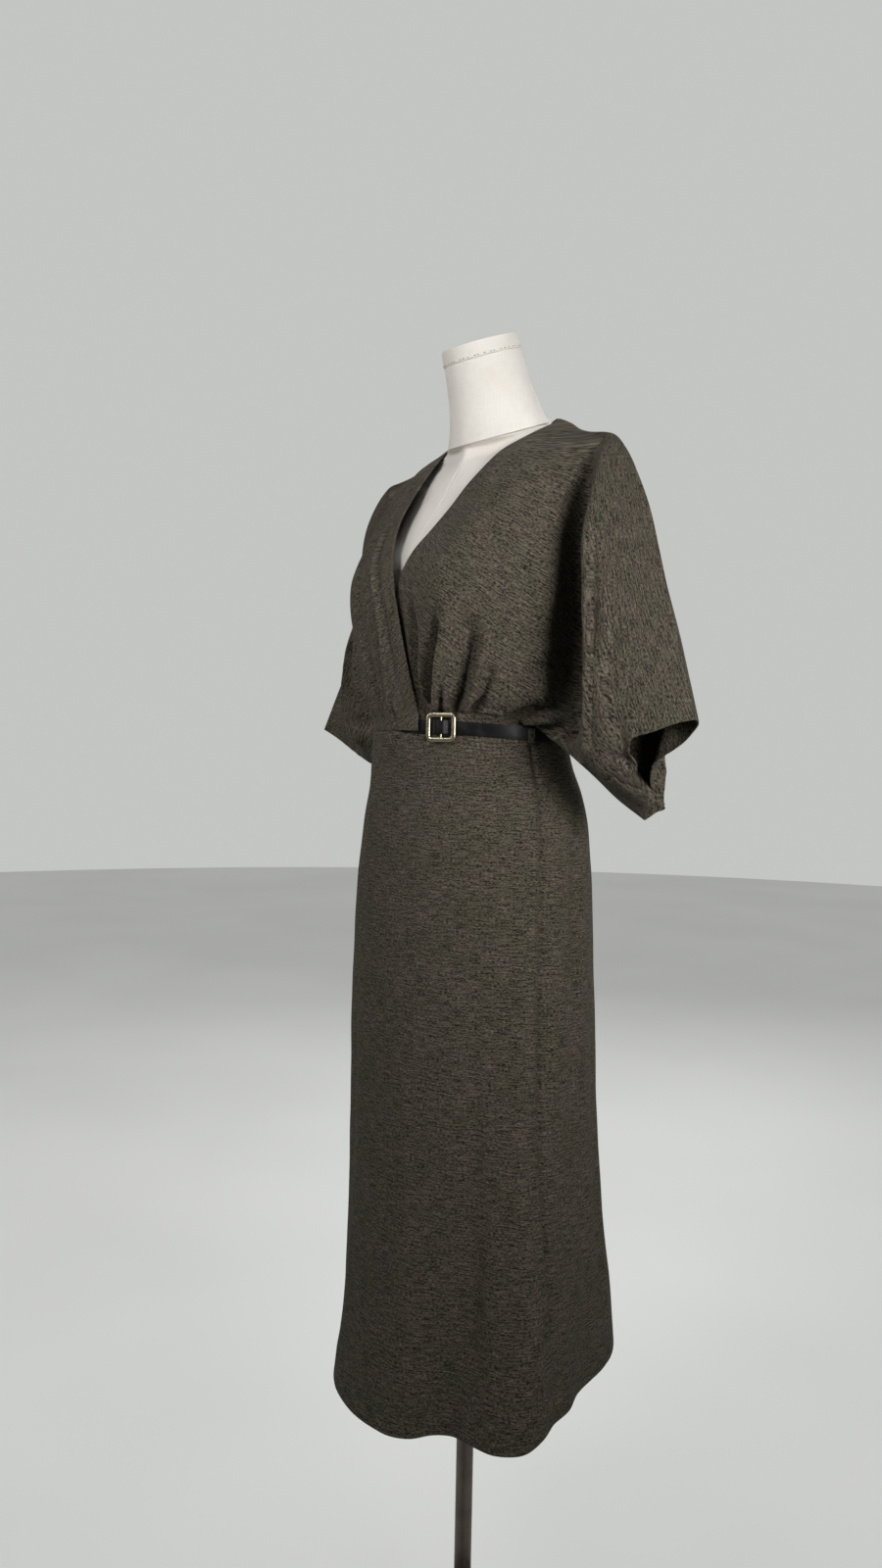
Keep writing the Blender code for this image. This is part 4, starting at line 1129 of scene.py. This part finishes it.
def make_bodice(finishing):
    coarse = {side: front_grid(side) for side, _ in FRONTS}
    back = shaped("bodice_back", -1, back_grid(coarse), BACK_PLACES)
    fronts = {side: shaped(name, side, coarse[side], FRONT_PLACES) for side, name in FRONTS}
    count, middle = len(FRONT_PLACES), len(BACK_PLACES) // 2
    for side, half in back_halves(back, count):
        half[:, -1] = fronts[side][:, -1]
        half[SIDE:, BELT_ROW] = fronts[side][SIDE:, BELT_ROW]
    back_normal, upright = cloth_normals(back, -1)
    reach = middle - (count - 1) + SIDE
    strip = slice(middle - reach, middle + reach + 1)
    back_normal[strip, BELT_ROW] = unit(back_normal[strip, BELT_ROW] + upright[strip])
    back_shift = np.zeros_like(back)
    halves = {}
    for item in (back, back_normal, back_shift):
        for side, half in back_halves(item, count):
            halves.setdefault(side, []).append(half)
    for side, name in FRONTS:
        front = fronts[side]
        normal, upright = cloth_normals(front, side)
        worn = slice(0, SIDE + 1)
        held = 1 - free_of_belt(front)[worn]
        normal[worn, BELT_ROW] = unit(normal[worn, BELT_ROW] + upright[worn] * held)
        half, half_normal, half_shift = halves[side]
        shift = np.zeros_like(front)
        for rows, start in (((-1, -2), 0), ((BELT_ROW, BELT_ROW + 1), SIDE)):
            across = join(front, half, (normal, half_normal), rows, start)
            shift[start:, rows[0]] = across * SEAM / 2
            half_shift[start:, rows[0]] = -across * SEAM / 2
        forward = unit(front[SIDE - 1, 0] - front[SIDE, 0])
        shift[SIDE, : BELT_ROW + 1] = forward * SEAM / 2
        half_shift[SIDE, : BELT_ROW + 1] = -forward * SEAM / 2
        normal[SIDE, :BELT_ROW] = half_normal[SIDE, :BELT_ROW] = upright[SIDE]
        piece = wall(
            front + shift,
            front - normal * CLOTH + shift,
            list(zip((0, VALLEY), weft_maps(front, True))),
            (*finishing, name),
            lambda column, row: row < BELT_ROW and column >= SIDE,
        )
    around, down = weft_maps(back, False)
    piece = wall(
        back + back_shift,
        back - back_normal * CLOTH + back_shift,
        [(0, down), (count - 1 - VALLEY, around), (LEFT_HALF + VALLEY, down)],
        (*finishing, "bodice_back"),
        lambda column, row: row < BELT_ROW and not middle - reach <= column < middle + reach,
    )


# ---------------------------------------------------------------- the belt


# How far the strap's inner face rises beside the buckle's bar and over it
STRAP_BESIDE_BAR = 0.8 * MM
STRAP_OVER_BAR = 5.2 * MM
STRAP_PAST_BUCKLE = 3
STRAP_STEPS = 150
# Heights across the strap, as shares of its half width, and how much thinner its edges are
STRAP_LINES = np.array((-1, -0.93, -0.8, -0.4, 0, 0.4, 0.8, 0.93, 1))
STRAP_CROWN = 0.35 * MM
BUCKLE_RIM = 0.42 * BUCKLE_THICK
LOOP_CLEAR = 0.4 * MM
LOOP_FOOT_OUT = 3.4 * MM
LOOP_HALF_ANGLE = 2.2
LOOP_RIM = 0.4 * MM


def belt_point(angle, out, above):
    return waist_point(angle, out, BELT_ABOVE_SEAM + above)


def make_strap(finishing):
    """The strap runs from under the wrap, over the buckle's bar, and round to the right seam."""
    low = BELT_STANDS_OFF
    buckle_half = math.degrees(BUCKLE_WIDTH / 2 / WAIST_HALF_WIDTH)
    past_buckle = buckle_half + STRAP_PAST_BUCKLE
    turns = (
        # angle, and how far the strap's inner face stands off the waist
        (BELT_TAIL_ANGLE, low),
        (BUCKLE_ANGLE - past_buckle, low),
        (BUCKLE_ANGLE - buckle_half * 0.45, low + STRAP_BESIDE_BAR),
        (BUCKLE_ANGLE - buckle_half * 0.2, low + STRAP_OVER_BAR),
        (BUCKLE_ANGLE + buckle_half * 0.2, low + STRAP_OVER_BAR),
        (BUCKLE_ANGLE + buckle_half * 0.45, low + STRAP_BESIDE_BAR),
        (BUCKLE_ANGLE + past_buckle, low),
    )
    near = curve_through(turns, (6, 6, 8, 8, 8, 6))
    far = np.linspace(BUCKLE_ANGLE + past_buckle, BELT_END_ANGLE, STRAP_STEPS)[1:]
    angles = np.concatenate((near[:, 0], far))[:, None]
    outs = np.concatenate((np.maximum(near[:, 1], low), np.full(len(far), low)))[:, None]
    heights = STRAP_LINES * BELT_WIDTH / 2
    outer = belt_point(angles, outs + BELT_THICK - STRAP_CROWN * STRAP_LINES**4, heights)
    wall(outer, belt_point(angles, outs, heights), [(0, plain_map(outer))], finishing)


def make_buckle(finishing):
    """A rounded square frame with a bar across its middle, which the strap goes over."""
    bm = bmesh.new()
    block = Matrix.Diagonal((BUCKLE_WIDTH, BUCKLE_THICK, BUCKLE_HEIGHT, 1))
    bmesh.ops.create_cube(bm, size=1, matrix=block)
    corners = [e for e in bm.edges if abs(e.verts[0].co.y - e.verts[1].co.y) > BUCKLE_THICK / 2]
    bevel(bm, corners, BUCKLE_CORNER, 8)
    bm.normal_update()
    plates = [f for f in bm.faces if abs(f.normal.y) > 0.9]
    bmesh.ops.inset_region(bm, faces=plates, thickness=BUCKLE_BAR, use_even_offset=True)
    bmesh.ops.delete(bm, geom=plates, context="FACES_ONLY")
    bmesh.ops.bridge_loops(bm, edges=[e for e in bm.edges if e.is_boundary])
    bm.normal_update()
    round_rims(bm, BUCKLE_RIM, steps=5, angle=60)
    bmesh.ops.create_cone(
        bm, cap_ends=True, segments=20, radius1=BUCKLE_PIN, radius2=BUCKLE_PIN,
        depth=BUCKLE_HEIGHT - BUCKLE_BAR,
    )
    centre = belt_point(BUCKLE_ANGLE, BELT_STANDS_OFF + BUCKLE_STANDS_OFF, 0.0)
    slope = math.radians(BUCKLE_ANGLE)
    outward = Vector((math.cos(slope) / WAIST_HALF_WIDTH, math.sin(slope) / WAIST_HALF_DEPTH, 0))
    turn = Matrix.Rotation(math.atan2(outward.x, -outward.y), 4, "Z")
    bmesh.ops.transform(bm, matrix=Matrix.Translation(centre) @ turn, verts=bm.verts[:])
    finish(bm, *finishing)


def make_loop(finishing):
    """A fabric carrier that bridges the belt at the left side seam."""
    half = BELT_WIDTH / 2
    clear = BELT_STANDS_OFF + BELT_THICK + LOOP_CLEAR
    turns = (
        # height from the belt's middle, and how far the carrier's inner face stands off the waist
        (-half - 4 * MM, LOOP_FOOT_OUT),
        (-half - 1.2 * MM, clear),
        (half - 2 * MM, clear),
    )
    above, out = curve_through(turns, (6, 10)).T
    angles = SIDE_SEAM_ANGLE + np.linspace(-LOOP_HALF_ANGLE, LOOP_HALF_ANGLE, 9)[:, None]
    outer, inner = (belt_point(angles, out + thick, above) for thick in (LOOP_THICK, 0.0))
    wall(outer, inner, [(0, plain_map(outer))], finishing, rim=LOOP_RIM)


# ---------------------------------------------------------------- the form

# The top sections lean forward with the neck
FORM_SECTIONS = (
    # height, half_width, front, back, squareness, lean
    (-270, 143, -108, 107, 2.0, 0),
    (-262, 149, -114, 113, 2.0, 0),
    (-200, 156, -119, 114, 2.0, 0),
    (-100, 150, -117, 104, 2.1, 0),
    (0, 136, -119, 80, 2.0, 0),
    (60, 137, -120, 85, 2.1, 0),
    (120, 141, -125, 91, 2.2, 0),
    (185, 146, -131, 98, 2.3, 0),
    (219, 148, -124, 98, 2.2, 0),
    (250, 150, -103, 95, 2.0, 0),
    (298, 160, -71, 86, 1.8, 1),
    (335, 173, -50, 70, 1.45, 3),
    (352, 168, -42, 60, 1.15, 6),
    (368, 136, -37, 62, 1.0, 12),
    (384, 107, -34, 70, 1.15, 17),
    (395.7, 73, -38.7, 86.7, 2.0, 21),
)
FORM_SPANS = (3, 8, 10, 10, 7, 7, 7, 5, 5, 6, 5, 4, 4, 5, 6)
NECK_BASE = Vector((0, 24 * MM, WAIST + 396 * MM + SEAM))
NECK_TOP = Vector((0, -13 * MM, WAIST + 509 * MM))
NECK_TILT = math.radians(21)
BAND_START = 0.84
NECK_SECTIONS = (
    # share of the way up, half_width, half_depth
    (0.0, 73, 67),
    (0.1, 67, 63),
    (0.25, 61, 59),
    (0.5, 55, 54),
    (BAND_START, 51, 51),
)
BAND_SECTIONS = ((BAND_START, 51.6, 51.6), (0.93, 51.2, 51.2), (1.0, 50.2, 50.2))
BAND_STITCHES = 46
STITCH_ABOVE_SEAM = 2.6 * MM
# Half a stitch's thickness and length
STITCH_THICK = 0.45 * MM
STITCH_LENGTH = 1.5 * MM
# How much the step, the slant and the length vary, and how fast from one stitch to the next
STITCH_VARIES = ((0.22, 2.3), (0.16, 1.7), (0.25 * MM, 3.1))
ROUND_ANGLES = np.radians(
    places((-90, -88.4, 8), (-88.4, 88.4, 76), (88.4, 91.6, 16), (91.6, 268.4, 76), (268.4, 270, 8))
)
FORM_SLACK = 0.5
OFF_FORM = 2.8
SEAM_DIP = 0.8 * MM
SEAM_DIP_REACH = 1.8 * MM


def form_ring(height, half_width, front, back, squareness, lean):
    c, s = np.cos(ROUND_ANGLES), np.sin(ROUND_ANGLES)
    x = (half_width - FORM_SLACK) * np.sign(c) * np.abs(c) ** (2 / squareness)
    y = ((back - front) / 2 - FORM_SLACK) * np.sign(s) * np.abs(s) ** (2 / squareness)
    z = height + y * math.tan(math.radians(lean))
    return np.stack((x, y + (front + back) / 2, z), axis=-1) * MM + (0, 0, WAIST)


def sewn(rings):
    """Sinks the centre seams, where the linen's pieces meet at the front and the back."""
    rings = np.asarray(rings)
    dip = SEAM_DIP * (1 - rise(np.abs(rings[..., 0]), SEAM_DIP_REACH))
    return rings - np.sign(rings[..., 1:2]) * (0, 1, 0) * dip[..., None]


def make_form(finishing):
    rings = [form_ring(*row) for row in curve_through(FORM_SECTIONS, FORM_SPANS)]
    tube(sewn(rings), (*finishing, "form_torso"))
    make_neck("form_neck", curve_through(NECK_SECTIONS, (6, 6, 8, 10)), 0.0, finishing)
    make_neck("form_neck_band", curve_through(BAND_SECTIONS, (5, 5)), SEAM, finishing)
    make_band_stitches(brown_thread())


def make_neck(name, rows, lift, finishing):
    turn = np.array(Matrix.Rotation(NECK_TILT, 3, "X"))
    flat = np.stack((np.cos(ROUND_ANGLES), np.sin(ROUND_ANGLES), 0 * ROUND_ANGLES), axis=-1)
    rings = []
    for share, half_width, half_depth in rows:
        centre = np.array(NECK_BASE.lerp(NECK_TOP, share)) + turn @ (0, 0, lift)
        rings.append(centre + (flat * (half_width, half_depth, 0) * MM) @ turn.T)
    tube(rings, (*finishing, name))


def make_band_stitches(material):
    """The hand stitches that hold the neck band down, each a short raised thread."""
    bm = bmesh.new()
    turn = Matrix.Rotation(NECK_TILT, 4, "X")
    centre = NECK_BASE.lerp(NECK_TOP, BAND_START) + turn @ Vector((0, 0, STITCH_ABOVE_SEAM))
    out = Matrix.Translation((BAND_SECTIONS[0][1] * MM, 0, 0))
    for i in range(BAND_STITCHES):
        step, slant, longer = (amount * math.sin(i * rate) for amount, rate in STITCH_VARIES)
        around = Matrix.Rotation(2 * math.pi * (i + step) / BAND_STITCHES, 4, "Z")
        size = Matrix.Diagonal((STITCH_THICK, STITCH_LENGTH + longer, STITCH_THICK, 1))
        laid = turn @ around @ out @ Matrix.Rotation(slant, 4, "X") @ size
        place = Matrix.Translation(centre) @ laid
        bmesh.ops.create_uvsphere(bm, u_segments=8, v_segments=6, radius=1, matrix=place)
    worn_piece(bm, "band_stitches_linen", material)


# ---------------------------------------------------------------- the stand


def make_stand(steel, painted):
    """A round base plate, a pole, and the flanged collar that the form sits on."""
    rounding = 3 * MM
    base = (
        (0, 0),
        (BASE_RADIUS - 1 * MM, 0),
        (BASE_RADIUS, 1 * MM),
        (BASE_RADIUS, BASE_THICK - rounding),
        (BASE_RADIUS - rounding, BASE_THICK),
        (0, BASE_THICK),
    )
    lathe(base, (painted, "stand_plate", "stand_base"), 160)
    seat = FORM_BOTTOM - SEAM
    under = seat - FLANGE_THICK
    foot = under - COLLAR_HEIGHT
    collar = (
        (0, foot),
        (COLLAR_RADIUS - 2 * MM, foot),
        (COLLAR_RADIUS, foot + 2 * MM),
        (COLLAR_RADIUS, under),
        (FLANGE_RADIUS, under),
        (FLANGE_RADIUS, seat),
        (0, seat),
    )
    lathe(collar, (painted, "stand_plate", "stand_collar"), 96)
    rest = BASE_THICK + SEAM
    top = foot - SEAM
    pole = ((0, rest), (POLE_RADIUS, rest), (POLE_RADIUS, top), (0, top))
    lathe(pole, (steel, "stand_tube", "stand_pole"), 64)


# ---------------------------------------------------------------- camera, floor and lights

CAMERA_AZIMUTH = 49.0
CAMERA_DISTANCE = 1.47
CAMERA_ROLL = 1.146
SENSOR = 36.0
LENS = 25.99
SHIFT = (-0.02425, -0.02938)
FLOOR_RADIUS = 9.0
AIR_TONE = colour(0.80, 0.82, 0.80)
AIR_STRENGTH = 0.07
BACKDROP_TONE = colour(0.55, 0.56, 0.54)
BACKDROP_STRENGTH = 1.0
CHEST = WAIST + 0.25
SOFTBOXES = (
    # name, azimuth, elevation, distance, size, power, spread
    ("key", 4, 25, 1.9, 0.7, 2.3, 68),
    ("side", 82, 2, 2.2, 0.9, 6.8, 70),
    ("behind", 215, 28, 3.0, 1.6, 48, 180),
    ("other", 318, 14, 3.0, 1.4, 16, 180),
)
SKY_POWER = 0.15
SKY_ANGLE = 60
SKY_FROM = (0.5, 0.1, 1.0)


def make_camera():
    """Level with the waist, to the left of the front."""
    data = bpy.data.cameras.new("camera")
    data.sensor_width = SENSOR
    data.lens = LENS
    data.shift_x, data.shift_y = SHIFT
    camera = added("camera", data)
    azimuth = math.radians(CAMERA_AZIMUTH)
    toward = Vector((math.sin(azimuth), -math.cos(azimuth), 0))
    eye = Matrix.Translation(toward * CAMERA_DISTANCE + Vector((0, 0, WAIST)))
    level = Matrix.Rotation(azimuth, 4, "Z") @ Matrix.Rotation(math.radians(90), 4, "X")
    camera.matrix_world = eye @ level @ Matrix.Rotation(math.radians(CAMERA_ROLL), 4, "Z")
    bpy.context.scene.camera = camera


def make_floor():
    bm = bmesh.new()
    bmesh.ops.create_circle(bm, cap_ends=True, radius=FLOOR_RADIUS, segments=96)
    meshed(bm, "floor", pale_floor())


def aimed(name, data, toward):
    """A light that shines from the direction `toward`."""
    light = added(name, data)
    light.rotation_euler = toward.to_track_quat("Z", "Y").to_euler()
    return light


def softbox(name, azimuth, elevation, distance, size, power, spread):
    """A square light that faces the chest; azimuth 0 is in front and 90 on the wearer's left."""
    a, e = math.radians(azimuth), math.radians(elevation)
    toward = Vector((math.sin(a) * math.cos(e), -math.cos(a) * math.cos(e), math.sin(e)))
    data = bpy.data.lights.new(name, "AREA")
    data.size = size
    data.energy = power
    data.spread = math.radians(spread)
    light = aimed(name, data, toward)
    light.location = Vector((0, 0, CHEST)) + toward * distance
    light.visible_camera = False


def make_lights():
    """A key in front, one on the wearer's left, one behind, one on the right, and a soft sky."""
    for row in SOFTBOXES:
        softbox(*row)
    sky = bpy.data.lights.new("sky", "SUN")
    sky.energy = SKY_POWER
    sky.angle = math.radians(SKY_ANGLE)
    aimed("sky", sky, Vector(SKY_FROM))
    bpy.context.scene.view_settings.view_transform = "Standard"


def make_air():
    """A low even light, and a pale backdrop that only the camera sees."""
    world = bpy.data.worlds.new("studio")
    world.use_nodes = True
    world.node_tree.nodes.clear()
    air = Socket(world.node_tree)
    seen = air.node("ShaderNodeLightPath")
    glow, backdrop = (
        air.node("ShaderNodeBackground", None, {"Color": tone, "Strength": strength})
        for tone, strength in ((AIR_TONE, AIR_STRENGTH), (BACKDROP_TONE, BACKDROP_STRENGTH))
    )
    mixed = air.node("ShaderNodeMixShader", None, {0: seen, 1: glow, 2: backdrop})
    air.node("ShaderNodeOutputWorld", None, {"Surface": mixed}, None)
    bpy.context.scene.world = world


def main():
    cloth = (melange_cloth(), "dress_cloth")
    make_skirt(cloth)
    make_bodice(cloth)
    make_strap((black_leather(), "belt_leather", "belt_strap"))
    make_buckle((polished_brass(), "buckle_brass", "buckle_frame"))
    make_loop((*cloth, "belt_loop_left"))
    make_form((cream_linen(), "form_linen"))
    make_stand(brushed_steel(), painted_iron())
    make_floor()
    make_air()
    make_lights()
    make_camera()


main()
